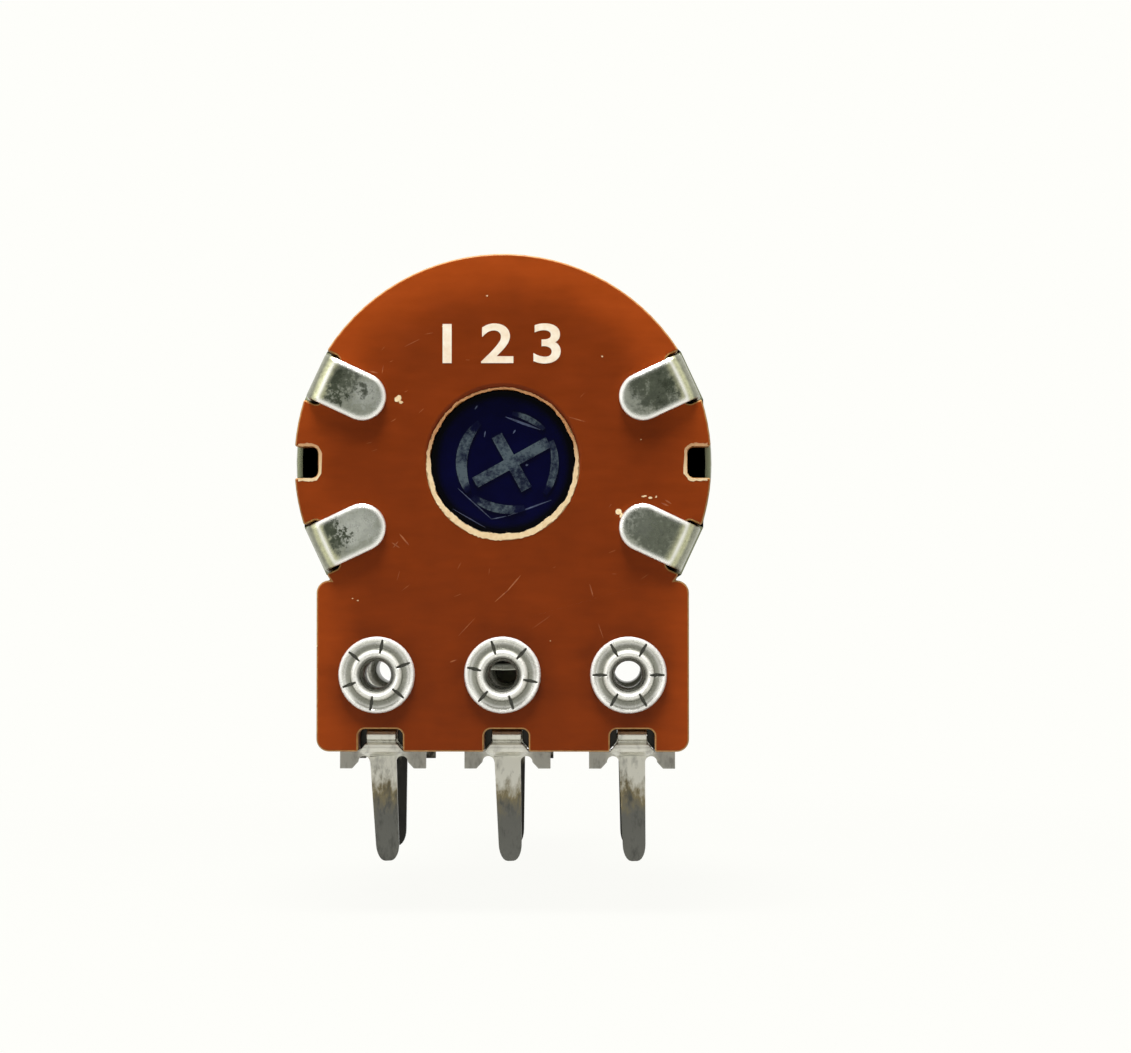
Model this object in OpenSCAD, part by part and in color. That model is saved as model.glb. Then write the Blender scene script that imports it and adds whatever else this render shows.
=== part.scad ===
// Dual rotary potentiometer, 16 mm class, with two gangs on one shaft and straight solder pins.
// Millimetres. The shaft points along +Y, the wafers' tails and pins hang down towards -Z, and
// the origin is on the shaft's axis in the face that meets the panel.
// Each piece is drawn with x to the right, y up and z rearwards from the panel, then stood up.

/* [Stack along the shaft] */
// Panel face to the rear face of the front wafer
front_depth = 6.5; // [5.5:0.1:8]
// Distance between the two gangs
gang_pitch = 6.5; // [6:0.1:9]
// Thickness of the phenolic wafers
wafer_t = 1.3; // [1:0.1:1.6]
// Thickness of the drawn steel sheet
sheet_t = 0.35; // [0.3:0.05:0.45]

/* [Cover and can] */
// Outside diameter of the drawn cover and can
can_d = 16.7; // [16:0.1:19]
// Outside radius of the drawn edges
draw_r = 0.7; // [0.5:0.05:0.9]
// Height of the gap that the can walls leave for the terminals
tail_gap = 1.2; // [1:0.05:1.4]
// Radius of the hole in the can's floor, beyond the rotor boss
floor_hole_gap = 0.4; // [0.2:0.05:0.8]
// Distance of the panel lug from the axis
lug_x = 7.1; // [6.5:0.1:7.3]
// Width of the panel lug
lug_w = 2.4; // [1.5:0.1:3]
// Height of the panel lug above the panel face
lug_h = 1.2; // [0.8:0.1:2]

/* [Folded tabs] */
// Angle of the tabs above and below the horizontal
tab_angle = 25; // [20:1:27]
// Width of a tab
tab_w = 1.9; // [1.4:0.1:2.1]
// Distance of a folded tab's tip from the axis
tab_tip_r = 5.2; // [4.8:0.1:5.8]
// Inside radius of a tab's bend
tab_bend_r = 0.35; // [0.2:0.05:0.4]
// Distance of a tab's outer face from the axis
tab_face_r = 8.25; // [8:0.05:8.3]
// Clearance round a tab in the notches it passes
tab_gap = 0.12; // [0.05:0.01:0.2]

/* [Wafer] */
// Diameter of the wafer's round head
wafer_d = 16.6; // [16:0.1:18.8]
// Width of the wafer's tail
tail_w = 14.8; // [14:0.1:17]
// Axis to the tail's shoulders
shoulder_y = 4.7; // [4.6:0.1:5.2]
// Axis to the tail's lower edge
tail_y = 11.5; // [11:0.1:14]
// Radius of the tail's corners
tail_r = 0.5; // [0.2:0.1:1]
// Diameter of the hole that the rotor's hub turns in
hub_hole_d = 5.8; // [5.4:0.1:6.2]
// Broken edge of that hole on the rear face
hole_edge = 0.18; // [0.05:0.01:0.25]
// Height of the notches at both sides
side_notch_h = 1.25; // [0.8:0.05:1.6]
// Depth of the notches at both sides
side_notch_d = 0.95; // [0.6:0.05:1.2]
// Inside corner radius of the notches
notch_r = 0.28; // [0.1:0.02:0.35]

/* [Terminals] */
// Distance between terminals
pin_pitch = 5; // [4.5:0.1:5.2]
// Axis to the eyelets
eyelet_y = 8.45; // [8.2:0.05:9]
// Thickness of the terminal strip
strip_t = 0.3; // [0.2:0.05:0.4]
// Diameter of the terminal's round head
head_d = 3.3; // [2.8:0.1:3.6]
// Width across the two feet of a terminal
feet_w = 3.45; // [3.3:0.05:3.8]
// Width of one foot
foot_w = 0.72; // [0.5:0.02:0.78]
// How much narrower a foot is at its lower end
foot_splay = 0.24; // [0:0.02:0.3]
// Drop of the feet below the wafer
foot_drop = 0.75; // [0.4:0.05:1.2]
// Width of a pin
pin_w = 1.05; // [0.8:0.05:1.1]
// How much narrower a pin is above its tip
pin_taper = 0.13; // [0:0.01:0.2]
// How far the pins stand to the right of their eyelets
pin_shift = 0.15; // [0:0.05:0.2]
// Axis to the tips of the pins
pin_y = 15.95; // [14:0.05:18]
// Lean of the rear gang's left pin, in degrees
left_lean = 3; // [0:0.1:3]
// Lean of the rear gang's centre pin, in degrees
centre_lean = 1.8; // [0:0.1:3]
// Lean of the rear gang's right pin, in degrees
right_lean = 1.3; // [0:0.1:3]
// Lean of the front gang's pins, in degrees
front_lean = 0.3; // [0:0.1:3]
// Width of the wafer's notch for a terminal
step_notch_w = 1.78; // [1.6:0.02:1.9]
// Depth of the wafer's notch for a terminal
step_notch_d = 0.9; // [0.7:0.05:1.1]
// Width of the pressed step at its upper end
step_top_w = 1.15; // [0.9:0.05:1.4]
// Height of the pressed step above the strip
step_h = 0.95; // [0.5:0.05:1]
// Width of the slit that frees the step from the strip
slit_w = 0.03; // [0.02:0.01:0.05]
// How far the step's lower lip curves down in its middle
lip_drop = 0.28; // [0.1:0.02:0.3]

/* [Eyelets] */
// Diameter of the flared end
flare_d = 3.05; // [2.6:0.05:3.4]
// Height of the flared end
flare_h = 0.42; // [0.3:0.02:0.6]
// Diameter of the eyelet's bore
eyelet_bore = 1.1; // [1:0.02:1.5]
// Wall of the eyelet
eyelet_wall = 0.22; // [0.15:0.01:0.3]
// Diameter of the rolled head on the other side
roll_d = 2.7; // [2.4:0.1:3.2]
// Thickness of the rolled head
head_z = 0.25; // [0.2:0.01:0.4]
// Number of splits in the flared end
splits = 6; // [4:1:8]
// Width of a split
split_w = 0.14; // [0.05:0.01:0.15]

/* [Shaft and bush] */
// Diameter of the shaft
shaft_d = 6; // [5.5:0.05:6]
// Shaft length from the panel face
shaft_l = 15; // [12:0.5:30]
// Length of the toothed end
spline_l = 7; // [5:0.5:8]
// Number of teeth
spline_n = 18; // [12:1:24]
// Depth of the teeth
spline_depth = 0.35; // [0.2:0.05:0.5]
// Width of the slot in the toothed end
slot_w = 1; // [0.6:0.1:1.4]
// Depth of the slot
slot_l = 6.5; // [4:0.5:7]
// Outside diameter of the bush
bush_d = 7; // [6.8:0.1:8]
// Diameter of the bush's neck where it is staked into the cover
neck_d = 7.6; // [7.2:0.1:8.4]
// Length of the bush in front of the panel face
bush_l = 6.5; // [5:0.5:7]
// Diameter of the bush's flange inside the cover
flange_d = 9.4; // [8.8:0.1:10]
// Thickness of that flange
flange_t = 0.85; // [0.6:0.05:1]
// Running clearance of the shaft in the bush, on the radius
shaft_gap = 0.04; // [0.02:0.01:0.08]
// Chamfer on the bush and the shaft
chamfer = 0.4; // [0.2:0.05:0.5]

/* [Retaining clip] */
// Thickness of the clip
clip_t = 0.4; // [0.3:0.05:0.5]
// Outside diameter of the clip
clip_d = 8.6; // [8:0.1:9]
// Width of the clip's prongs
prong_w = 1.3; // [1:0.1:1.6]
// Diameter of the shaft's groove under the clip
groove_d = 5; // [4.8:0.1:5.2]

/* [Rotors] */
// Diameter of the rotor disc
disc_d = 14.6; // [14:0.1:15.2]
// Thickness of the rotor disc
disc_t = 0.9; // [0.7:0.05:1]
// Gap between a rotor disc and its wafer
disc_gap = 1.25; // [1.1:0.05:1.4]
// Height of the rim round the disc
rim_h = 0.35; // [0.2:0.05:0.5]
// Width of that rim
rim_w = 0.5; // [0.3:0.05:0.6]
// Running clearance of the hub in the wafer, on the radius
hub_gap = 0.05; // [0.02:0.01:0.1]
// Depth of the rear rotor's face below the wafer's rear face
face_sink = 0.35; // [0.1:0.05:0.6]
// Diameter of the shaft's inner end, which drives both rotors
tang_d = 4; // [3.6:0.1:4.4]
// Width across the inner end's two flats
tang_flat = 2.8; // [2.4:0.1:3.2]
// Wall of the front rotor's boss, beyond the shaft
boss_wall = 0.4; // [0.2:0.05:0.6]
// Fit of the inner end in the rotors, on each side
tang_fit = 0.03; // [0.01:0.01:0.06]

/* [Moulded marks on the rear rotor] */
// Angle of the cross
cross_angle = 29; // [0:1:180]
// Distance of the cross from the axis
cross_off = 0.35; // [0:0.01:0.4]
// Length of the cross's long bar
cross_l = 3.35; // [2.4:0.05:3.6]
// Length of the cross's short bar
cross_s = 2.45; // [1.6:0.05:3.4]
// Width of the bars
cross_w = 0.45; // [0.3:0.05:0.6]
// Outer radius of the broken ring
mark_r = 2.05; // [1.7:0.05:2.2]
// Greatest width of the broken ring
mark_w = 0.45; // [0.2:0.05:0.5]
// Height of the marks
mark_h = 0.06; // [0.03:0.01:0.1]

/* [Travel] */
// Whole turn of the shaft between its stops
travel = 300; // [260:5:310]
// Half angle of the fixed stop
stop_half = 9; // [7:1:12]
// Clearance left at each stop, in degrees
stop_gap = 0.4; // [0.2:0.1:1]
// How far the fixed stop reaches in from the rotor disc's edge
stop_reach = 1.1; // [0.8:0.05:1.4]
// Gap between the fixed stop and the rotor disc
stop_lift = 0.55; // [0.3:0.05:0.7]
// How far the rotor's lug reaches past the fixed stop
stop_over = 0.15; // [0.05:0.05:0.2]

/* [Tracks and wipers] */
// Mean diameter of the resistance track
track_d = 12; // [11.4:0.1:12.4]
// Width of the resistance track
track_w = 1.3; // [1:0.1:1.5]
// Mean diameter of the collector ring
ring_d = 8.2; // [7.8:0.1:8.6]
// Width of the collector ring
ring_w = 0.9; // [0.7:0.1:1.1]
// Thickness of the printed films
film_t = 0.05; // [0.03:0.01:0.08]
// Thickness of the wiper's spring sheet
spring_t = 0.12; // [0.1:0.01:0.2]
// Width of the wiper's spring plate
plate_w = 2; // [1.8:0.1:2.2]
// Gap between the wiper's plate and the rotor's hub
plate_gap = 0.15; // [0.1:0.01:0.2]
// Length of a finger, from the plate to its contact
finger_l = 1.1; // [0.9:0.05:1.3]
// Upturned end of a finger, past its contact
finger_end = 0.3; // [0.2:0.02:0.4]
// Width of one wiper finger
finger_w = 0.4; // [0.3:0.02:0.5]
// Clearance between a finger's tip and the film
tip_gap = 0.03; // [0.02:0.01:0.05]
// Diameter of the stakes that hold a wiper
stake_d = 0.7; // [0.5:0.05:0.9]
// Height of a stake's head, and how far it spreads
stake_head = 0.2; // [0.1:0.02:0.25]
// Distance of a stake from the end of the plate
stake_edge = 0.75; // [0.7:0.05:0.9]

/* [Hidden] */

// How far a cut runs past what it cuts
over = 1;
// Segments of a full circle
round_n = 96;
small_n = 48;

// Stack, counted rearwards from the panel face
front_wafer_z = front_depth - wafer_t;
can_z = front_depth;
can_floor_z = front_depth + sheet_t;
rear_wafer_z = front_depth + gang_pitch - wafer_t;
rear_face_z = front_depth + gang_pitch;

can_r = can_d / 2;
tab_angles = [tab_angle, 180 - tab_angle, 180 + tab_angle, 360 - tab_angle];
tab_root_r = tab_face_r - sheet_t - tab_bend_r;
hub_r = hub_hole_d / 2 - hub_gap;
barrel_r = eyelet_bore / 2 + eyelet_wall;
bore_r = shaft_d / 2 + shaft_gap;

// The teeth are rolled just under the shaft's size
spline_relief = 0.03;

// Shaft's steps behind the bush
clip_gap = 0.05;
clip_z = sheet_t + flange_t + clip_gap;
collar_z = clip_z + clip_t + clip_gap;
collar_l = 0.35;
tang_z = collar_z + collar_l;
tang_end_z = rear_wafer_z - 0.4;

// Rotors
front_disc_z = front_wafer_z - disc_gap - disc_t;
rear_disc_z = rear_wafer_z - disc_gap - disc_t;
rotor_joint_z = front_depth - hub_gap;
disc_r = disc_d / 2;
boss_r = shaft_d / 2 + boss_wall;
stake_rs = [hub_r + plate_gap + stake_edge, track_d / 2 - stake_edge];

// Stops: lug and tongue share the angle that the travel leaves free
lug_half = (360 - travel) / 2 - stop_half - stop_gap;
stop_z = front_disc_z - stop_lift - sheet_t;
stop_lug_z = stop_z - stop_over;
stop_in_r = disc_r - stop_reach;

// How far the resistance track runs past each stop, in degrees
end_margin = 4;

// Terminal strip, heights counted down from the axis
notch_top_y = tail_y - step_notch_d;
step_top_y = notch_top_y + 0.08;
step_end_y = tail_y + 0.2;
arch_y = step_end_y + 0.05;
feet_y = tail_y + foot_drop;
arch_w = (feet_w - pin_w) / 2 - foot_w;
step_end_w = step_notch_w - 0.04;
step_neck_y = step_top_y + 0.45 * (step_end_y - step_top_y);
step_flare_y = step_top_y + 0.8 * (step_end_y - step_top_y);
eyelet_gap = 0.2;

left = -pin_pitch;
right = pin_pitch;

module stand() {
    rotate([90, 0, 0])
        children();
}

// Rectangle with round corners, centred
module soft_square(w, h, r) {
    square([w - 2 * r, h], center = true);
    square([w, h - 2 * r], center = true);
    for (x = [-1, 1], y = [-1, 1])
        translate([x * (w / 2 - r), y * (h / 2 - r)])
            circle(r = r, $fn = small_n);
}

// ---- Wafers -------------------------------------------------------------

module notch(r_in, h) {
    translate([r_in + can_r, 0])
        soft_square(2 * can_r, h, notch_r);
}

module wafer_outline() {
    difference() {
        union() {
            circle(d = wafer_d, $fn = round_n);
            translate([0, -(shoulder_y + tail_y) / 2])
                soft_square(tail_w, tail_y - shoulder_y, tail_r);
        }
        circle(d = hub_hole_d, $fn = round_n);
        for (a = tab_angles)
            rotate(a)
                notch(tab_root_r, tab_w + 2 * tab_gap);
        for (a = [0, 180])
            rotate(a)
                notch(wafer_d / 2 - side_notch_d, side_notch_h);
        for (x = [left, 0, right]) {
            translate([x, -eyelet_y])
                circle(r = barrel_r, $fn = small_n);
            translate([x + pin_shift, -notch_top_y - step_notch_d])
                soft_square(step_notch_w, 2 * step_notch_d, notch_r);
        }
    }
}

module wafer(z) {
    difference() {
        translate([0, 0, z])
            linear_extrude(wafer_t)
                wafer_outline();
        translate([0, 0, z + wafer_t - hole_edge])
            cylinder(r1 = hub_hole_d / 2, r2 = hub_hole_d / 2 + 2 * hole_edge,
                     h = 2 * hole_edge, $fn = round_n);
    }
}

module front_wafer() {
    color("#8a3d12")
        stand()
            wafer(front_wafer_z);
}

module rear_wafer() {
    color("#8a3d12")
        stand()
            wafer(rear_wafer_z);
}

// ---- Cover and can ------------------------------------------------------

// Half section of a drawn cup: floor at 0, open at h
module cup_side(r, h, edge) {
    translate([0, edge])
        square([r, h - edge]);
    square([r - edge, edge + h / 2]);
    translate([r - edge, edge])
        circle(r = edge, $fn = small_n);
}

module cup(h) {
    rotate_extrude($fn = round_n)
        difference() {
            intersection() {
                cup_side(can_r, h, draw_r);
                square([can_r, h]);
            }
            translate([0, sheet_t])
                cup_side(can_r - sheet_t, h, draw_r - sheet_t);
        }
}

// Strip that runs up from a can's rim and is folded inwards over the face at z
module folded_tab(rim_z, z) {
    bend_x = tab_root_r;
    flat_l = bend_x - tab_tip_r;
    translate([bend_x + tab_bend_r, -tab_w / 2, rim_z - tab_w / 2])
        cube([sheet_t, tab_w, z - tab_bend_r - rim_z + tab_w / 2]);
    translate([bend_x, tab_w / 2, z - tab_bend_r])
        rotate([90, 0, 0])
            rotate_extrude(angle = 90, $fn = small_n)
                translate([tab_bend_r, 0])
                    square([sheet_t, tab_w]);
    translate([0, 0, z])
        linear_extrude(sheet_t) {
            translate([bend_x - flat_l + tab_w / 2, -tab_w / 2])
                square([flat_l - tab_w / 2, tab_w]);
            translate([tab_tip_r + tab_w / 2, 0])
                circle(d = tab_w, $fn = small_n);
        }
}

module folded_tabs(rim_z, z) {
    for (a = tab_angles)
        rotate(a)
            folded_tab(rim_z, z);
}

// Room in the wall below the shoulders, where the terminals come out
module tail_cut(rim_z) {
    translate([-can_r, -can_r - over, rim_z - tail_gap])
        cube([2 * can_r, can_r + over - shoulder_y - tail_r, tail_gap + over]);
}

module sector(r_in, r_out, half, z, h) {
    translate([0, 0, z])
        rotate(-half)
            rotate_extrude(angle = 2 * half, $fn = round_n)
                translate([r_in, 0])
                    square([r_out - r_in, h]);
}

module front_cover_local() {
    difference() {
        cup(front_wafer_z);
        tail_cut(front_wafer_z);
        translate([0, 0, -over])
            cylinder(d = neck_d, h = 3 * over, $fn = round_n);
        // Window that the panel lug was bent out of
        translate([-lug_x + sheet_t, -lug_w / 2, -over])
            cube([lug_h, lug_w, 2 * over]);
        // Slot that the stop tongue was bent out of
        rotate(-90)
            sector(can_r - sheet_t - over, can_r + over, stop_half, stop_z + sheet_t,
                   front_wafer_z);
    }
    translate([-lug_x, -lug_w / 2, -lug_h])
        cube([sheet_t, lug_w, lug_h + sheet_t]);
    rotate(-90)
        sector(stop_in_r, can_r - sheet_t / 2, stop_half, stop_z, sheet_t);
    folded_tabs(front_wafer_z, can_floor_z);
}

module front_cover() {
    color("#b9bcae")
        stand()
            front_cover_local();
}

module rear_can_local() {
    boss_r = hub_hole_d / 2 + floor_hole_gap;
    eyelet_room_y = eyelet_y - flare_d / 2 - eyelet_gap;
    difference() {
        translate([0, 0, can_z])
            cup(rear_wafer_z - can_z);
        tail_cut(rear_wafer_z);
        translate([0, 0, can_z - over])
            cylinder(r = boss_r, h = 2 * over + sheet_t, $fn = round_n);
        // Room for the front gang's flared eyelets
        translate([-can_r, -can_r - over, can_z - over])
            cube([2 * can_r, can_r + over - eyelet_room_y, over + flare_h + eyelet_gap]);
        for (a = tab_angles)
            rotate(a)
                translate([tab_root_r, -tab_w / 2 - tab_gap, can_z - over])
                    cube([can_r, tab_w + 2 * tab_gap, over + 2 * sheet_t + tab_gap]);
    }
    folded_tabs(rear_wafer_z, rear_face_z);
}

module rear_can() {
    color("#b9bcae")
        stand()
            rear_can_local();
}

// ---- Terminals ----------------------------------------------------------

// A pin narrows a little on its way down, and then to a blunt round tip
module pin_outline() {
    end_w = pin_w - pin_taper;
    tip_l = 0.75 * end_w;
    tip = [for (t = [0:15:90]) [end_w * (0.12 + 0.38 * cos(t)), tip_l - pin_y - tip_l * sin(t)]];
    polygon(concat(
        [[-pin_w / 2, -arch_y], [pin_w / 2, -arch_y]],
        tip,
        [for (i = [len(tip) - 1:-1:0]) [-tip[i][0], tip[i][1]]]
    ));
}

// Opening between a foot and the pin: round above, wider below
module arch_outline() {
    crown_y = arch_y + arch_w / 2;
    foot_x = pin_w / 2 + arch_w;
    translate([pin_w / 2 + arch_w / 2, -crown_y])
        circle(d = arch_w, $fn = small_n);
    polygon([
        [pin_w / 2, -crown_y], [foot_x, -crown_y], [foot_x + foot_splay, -feet_y],
        [foot_x + foot_splay, -feet_y - over], [pin_w / 2, -feet_y - over]
    ]);
}

// Flat strip: head, plate, feet and pin, with the window that the step is pressed out of
module strip_outline(lean) {
    difference() {
        union() {
            translate([0, -eyelet_y])
                circle(d = head_d, $fn = small_n);
            translate([pin_shift - feet_w / 2, -feet_y])
                square([feet_w, feet_y - eyelet_y - head_d / 4]);
        }
        translate([0, -eyelet_y])
            circle(r = barrel_r, $fn = small_n);
        translate([pin_shift, 0]) {
            window_outline();
            arch_outline();
            mirror([1, 0])
                arch_outline();
            translate([-pin_w / 2, -feet_y - over])
                square([pin_w, over + feet_y - arch_y]);
        }
    }
    translate([pin_shift, -arch_y])
        rotate(lean)
            translate([0, arch_y])
                pin_outline();
}

// Window in the strip: the step's width and a slit on each side
module window_outline() {
    top = step_top_w / 2 + slit_w;
    end = step_end_w / 2 + slit_w;
    end_y = step_end_y - strip_t / 2;
    polygon([
        [top, -step_top_y], [top, -step_neck_y], [end, -step_flare_y], [end, -end_y],
        [-end, -end_y], [-end, -step_flare_y], [-top, -step_neck_y], [-top, -step_top_y]
    ]);
}

// The step seen from behind: a narrow neck that flares to a lip, curved at its lower edge
module step_outline() {
    top = step_top_w / 2;
    end = step_end_w / 2;
    top_y = step_top_y - strip_t / 4;
    lip_y = step_end_y - strip_t * 2 / 3;
    polygon(concat(
        [[-end, -step_flare_y], [-top, -step_neck_y], [-top, -top_y]],
        [[top, -top_y], [top, -step_neck_y], [end, -step_flare_y]],
        [for (t = [0:20:180]) [end * cos(t), -lip_y - lip_drop * sin(t)]]
    ));
}

// The step seen from the side, from its upper to its lower end: a ledge, a crease and a bulge,
// as shares of its length and height
step_points = [
    [0, 0], [0.03, 0.6], [0.1, 0.92], [0.2, 1], [0.36, 0.98], [0.43, 0.86], [0.47, 0.86],
    [0.54, 0.96], [0.66, 1], [0.79, 0.94], [0.9, 0.74], [0.97, 0.42], [1, 0]
];
function step_profile(half, h) = [for (p = step_points) [half * (1 - 2 * p[0]), h * p[1]]];

// The step rises from the strip, passes through the wafer's notch and comes back under its edge
module step() {
    half = (step_end_y - step_top_y) / 2 + strip_t / 4;
    h = step_h + strip_t;
    mid_y = (step_end_y + step_top_y) / 2;
    intersection() {
        translate([0, -mid_y, 0])
            rotate([90, 0, 90])
                translate([0, 0, -pin_pitch / 2])
                    linear_extrude(pin_pitch)
                        difference() {
                            polygon(step_profile(half, h));
                            polygon(step_profile(half - strip_t, h - strip_t));
                        }
        linear_extrude(3 * h, center = true)
            step_outline();
    }
}

// Stamped terminal against the wafer face at z
module terminal(x, z, lean) {
    color("#aaa896")
        stand()
            translate([x, 0, z - strip_t]) {
                linear_extrude(strip_t)
                    strip_outline(lean);
                translate([pin_shift, 0])
                    step();
            }
}

module front_terminal_left() {
    terminal(left, front_wafer_z, front_lean);
}

module front_terminal_centre() {
    terminal(0, front_wafer_z, front_lean);
}

module front_terminal_right() {
    terminal(right, front_wafer_z, front_lean);
}

module rear_terminal_left() {
    terminal(left, rear_wafer_z, left_lean);
}

module rear_terminal_centre() {
    terminal(0, rear_wafer_z, centre_lean);
}

module rear_terminal_right() {
    terminal(right, rear_wafer_z, right_lean);
}

// ---- Eyelets ------------------------------------------------------------

// Profile of the flared end, from its edge over the rim, groove and lip into the bore:
// shares of the way out from the bore, and of the height
flare_points = [
    [0.95, 0], [1, 0.12], [0.985, 0.36], [0.94, 0.52], [0.88, 0.55], [0.82, 0.46], [0.77, 0.3],
    [0.53, 0.3], [0.49, 0.5], [0.44, 0.8], [0.38, 0.96], [0.32, 1], [0.26, 0.94], [0.2, 0.76],
    [0.16, 0.45], [0.08, 0], [0, -0.5]
];
// Where a split starts and ends, as shares of the same way
split_from = 0.3;
split_to = 0.9;

// Half section, with z from the rolled head's outer face and the flare on top of the grip
module eyelet_section(grip) {
    bore_r = eyelet_bore / 2;
    reach = flare_d / 2 - bore_r;
    roll_r = roll_d / 2 - head_z / 2;
    polygon(concat(
        [[bore_r, 0]],
        [for (t = [0:30:180]) [roll_r + head_z / 2 * sin(t), head_z / 2 * (1 - cos(t))]],
        [[barrel_r, head_z], [barrel_r, head_z + grip]],
        [for (p = flare_points) [bore_r + reach * p[0], head_z + grip + flare_h * p[1]]]
    ));
}

// A crease left by splitting: widest in its middle, and blunt at both ends
module split_outline() {
    bore_r = eyelet_bore / 2;
    reach = flare_d / 2 - bore_r;
    from_r = bore_r + split_from * reach;
    to_r = bore_r + split_to * reach;
    mid_r = (from_r + to_r) / 2;
    polygon([
        [from_r, -split_w / 4], [mid_r, -split_w / 2], [to_r, -split_w / 4],
        [to_r, split_w / 4], [mid_r, split_w / 2], [from_r, split_w / 4]
    ]);
}

// A hollow rivet: rolled head, barrel, and an end split and flared over the wafer
module eyelet(turn) {
    grip = strip_t + wafer_t;
    difference() {
        rotate_extrude($fn = small_n)
            eyelet_section(grip);
        for (i = [0:splits - 1])
            rotate(turn + i * 360 / splits)
                translate([0, 0, head_z + grip + 0.15 * flare_h])
                    linear_extrude(flare_h)
                        split_outline();
    }
}

module eyelets(z, turns) {
    color("#d9dad4")
        stand()
            for (i = [0:2])
                translate([(i - 1) * pin_pitch, -eyelet_y, z - strip_t - head_z])
                    eyelet(turns[i]);
}

module front_eyelets() {
    eyelets(front_wafer_z, [5, 40, 20]);
}

module rear_eyelets() {
    eyelets(rear_wafer_z, [20, 48, 0]);
}

// ---- Bush, shaft and clip -----------------------------------------------

module bush() {
    color("#c3c4c0")
        stand()
            difference() {
                union() {
                    translate([0, 0, -bush_l])
                        cylinder(d1 = bush_d - 2 * chamfer, d2 = bush_d, h = chamfer,
                                 $fn = round_n);
                    translate([0, 0, chamfer - bush_l])
                        cylinder(d = bush_d, h = bush_l - chamfer, $fn = round_n);
                    cylinder(d = neck_d, h = sheet_t, $fn = round_n);
                    translate([0, 0, sheet_t])
                        cylinder(d = flange_d, h = flange_t, $fn = round_n);
                }
                translate([0, 0, -bush_l - over])
                    cylinder(r = bore_r, h = bush_l + sheet_t + flange_t + 2 * over,
                             $fn = round_n);
            }
}

module tang_outline(fit) {
    intersection() {
        circle(d = tang_d + 2 * fit, $fn = small_n);
        square([tang_flat + 2 * fit, 2 * tang_d], center = true);
    }
}

module spline_outline() {
    pitch = 360 / spline_n;
    tip_r = shaft_d / 2 - spline_relief;
    root_r = tip_r - spline_depth;
    polygon([
        for (i = [0:spline_n - 1], k = [0:3])
            let (a = (i + [0.05, 0.25, 0.6, 0.8][k]) * pitch, r = [root_r, tip_r, tip_r, root_r][k])
                [r * cos(a), r * sin(a)]
    ]);
}

module shaft() {
    tip_d = shaft_d - 2 * spline_depth - 4 * spline_relief;
    color("#b4b5b2")
        stand() {
            difference() {
                union() {
                    translate([0, 0, -shaft_l + chamfer])
                        linear_extrude(spline_l - chamfer)
                            spline_outline();
                    translate([0, 0, -shaft_l])
                        cylinder(d1 = tip_d - 2 * chamfer, d2 = tip_d, h = chamfer,
                                 $fn = round_n);
                    translate([0, 0, spline_l - shaft_l])
                        cylinder(d = shaft_d, h = shaft_l - spline_l + sheet_t + flange_t,
                                 $fn = round_n);
                    translate([0, 0, sheet_t + flange_t])
                        cylinder(d = groove_d, h = collar_z - sheet_t - flange_t, $fn = round_n);
                    translate([0, 0, collar_z])
                        cylinder(d = shaft_d, h = collar_l, $fn = round_n);
                    translate([0, 0, tang_z])
                        linear_extrude(tang_end_z - tang_z)
                            tang_outline(0);
                }
                translate([-slot_w / 2, -shaft_d, -shaft_l - over])
                    cube([slot_w, 2 * shaft_d, slot_l + over]);
            }
        }
}

// Sprung ring with three prongs and an open mouth, pushed into the shaft's groove
module retaining_clip() {
    ring_in = shaft_d / 2 + collar_l;
    color("#7d7f80")
        stand()
            translate([0, 0, clip_z])
                linear_extrude(clip_t)
                    difference() {
                        union() {
                            difference() {
                                circle(d = clip_d, $fn = round_n);
                                circle(r = ring_in, $fn = round_n);
                                translate([0, -clip_d / 2])
                                    square([groove_d - 0.8, clip_d], center = true);
                            }
                            for (a = [90, 195, 345])
                                rotate(a)
                                    translate([groove_d / 4, -prong_w / 2])
                                        square([ring_in + 0.1 - groove_d / 4, prong_w]);
                        }
                        circle(d = groove_d, $fn = round_n);
                    }
}

// ---- Rotors -------------------------------------------------------------

// Disc with its rim, front boss, rear hub and two stakes; all heights along the shaft
module rotor_body(disc_z, front_z, front_r, rear_z) {
    top_z = disc_z + disc_t;
    translate([0, 0, disc_z])
        cylinder(r = disc_r, h = disc_t, $fn = round_n);
    translate([0, 0, top_z]) {
        difference() {
            cylinder(r = disc_r, h = rim_h, $fn = round_n);
            translate([0, 0, -over])
                cylinder(r = disc_r - rim_w, h = rim_h + 2 * over, $fn = round_n);
        }
        for (r = stake_rs)
            translate([0, r, 0]) {
                cylinder(d = stake_d, h = spring_t, $fn = small_n);
                translate([0, 0, spring_t])
                    cylinder(d1 = stake_d + 2 * stake_head, d2 = stake_d, h = stake_head,
                             $fn = small_n);
            }
    }
    translate([0, 0, front_z])
        cylinder(r = front_r, h = disc_z - front_z, $fn = round_n);
    translate([0, 0, top_z])
        cylinder(r = hub_r, h = rear_z - top_z, $fn = round_n);
}

module front_rotor() {
    color("#14161c")
        stand()
            difference() {
                union() {
                    rotor_body(front_disc_z, tang_z + clip_gap, boss_r, rotor_joint_z);
                    // Stop lug on the front of the disc
                    rotate(90)
                        sector(stop_in_r, disc_r, lug_half, stop_lug_z,
                               front_disc_z - stop_lug_z);
                }
                linear_extrude(rear_wafer_z)
                    tang_outline(tang_fit);
            }
}

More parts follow.
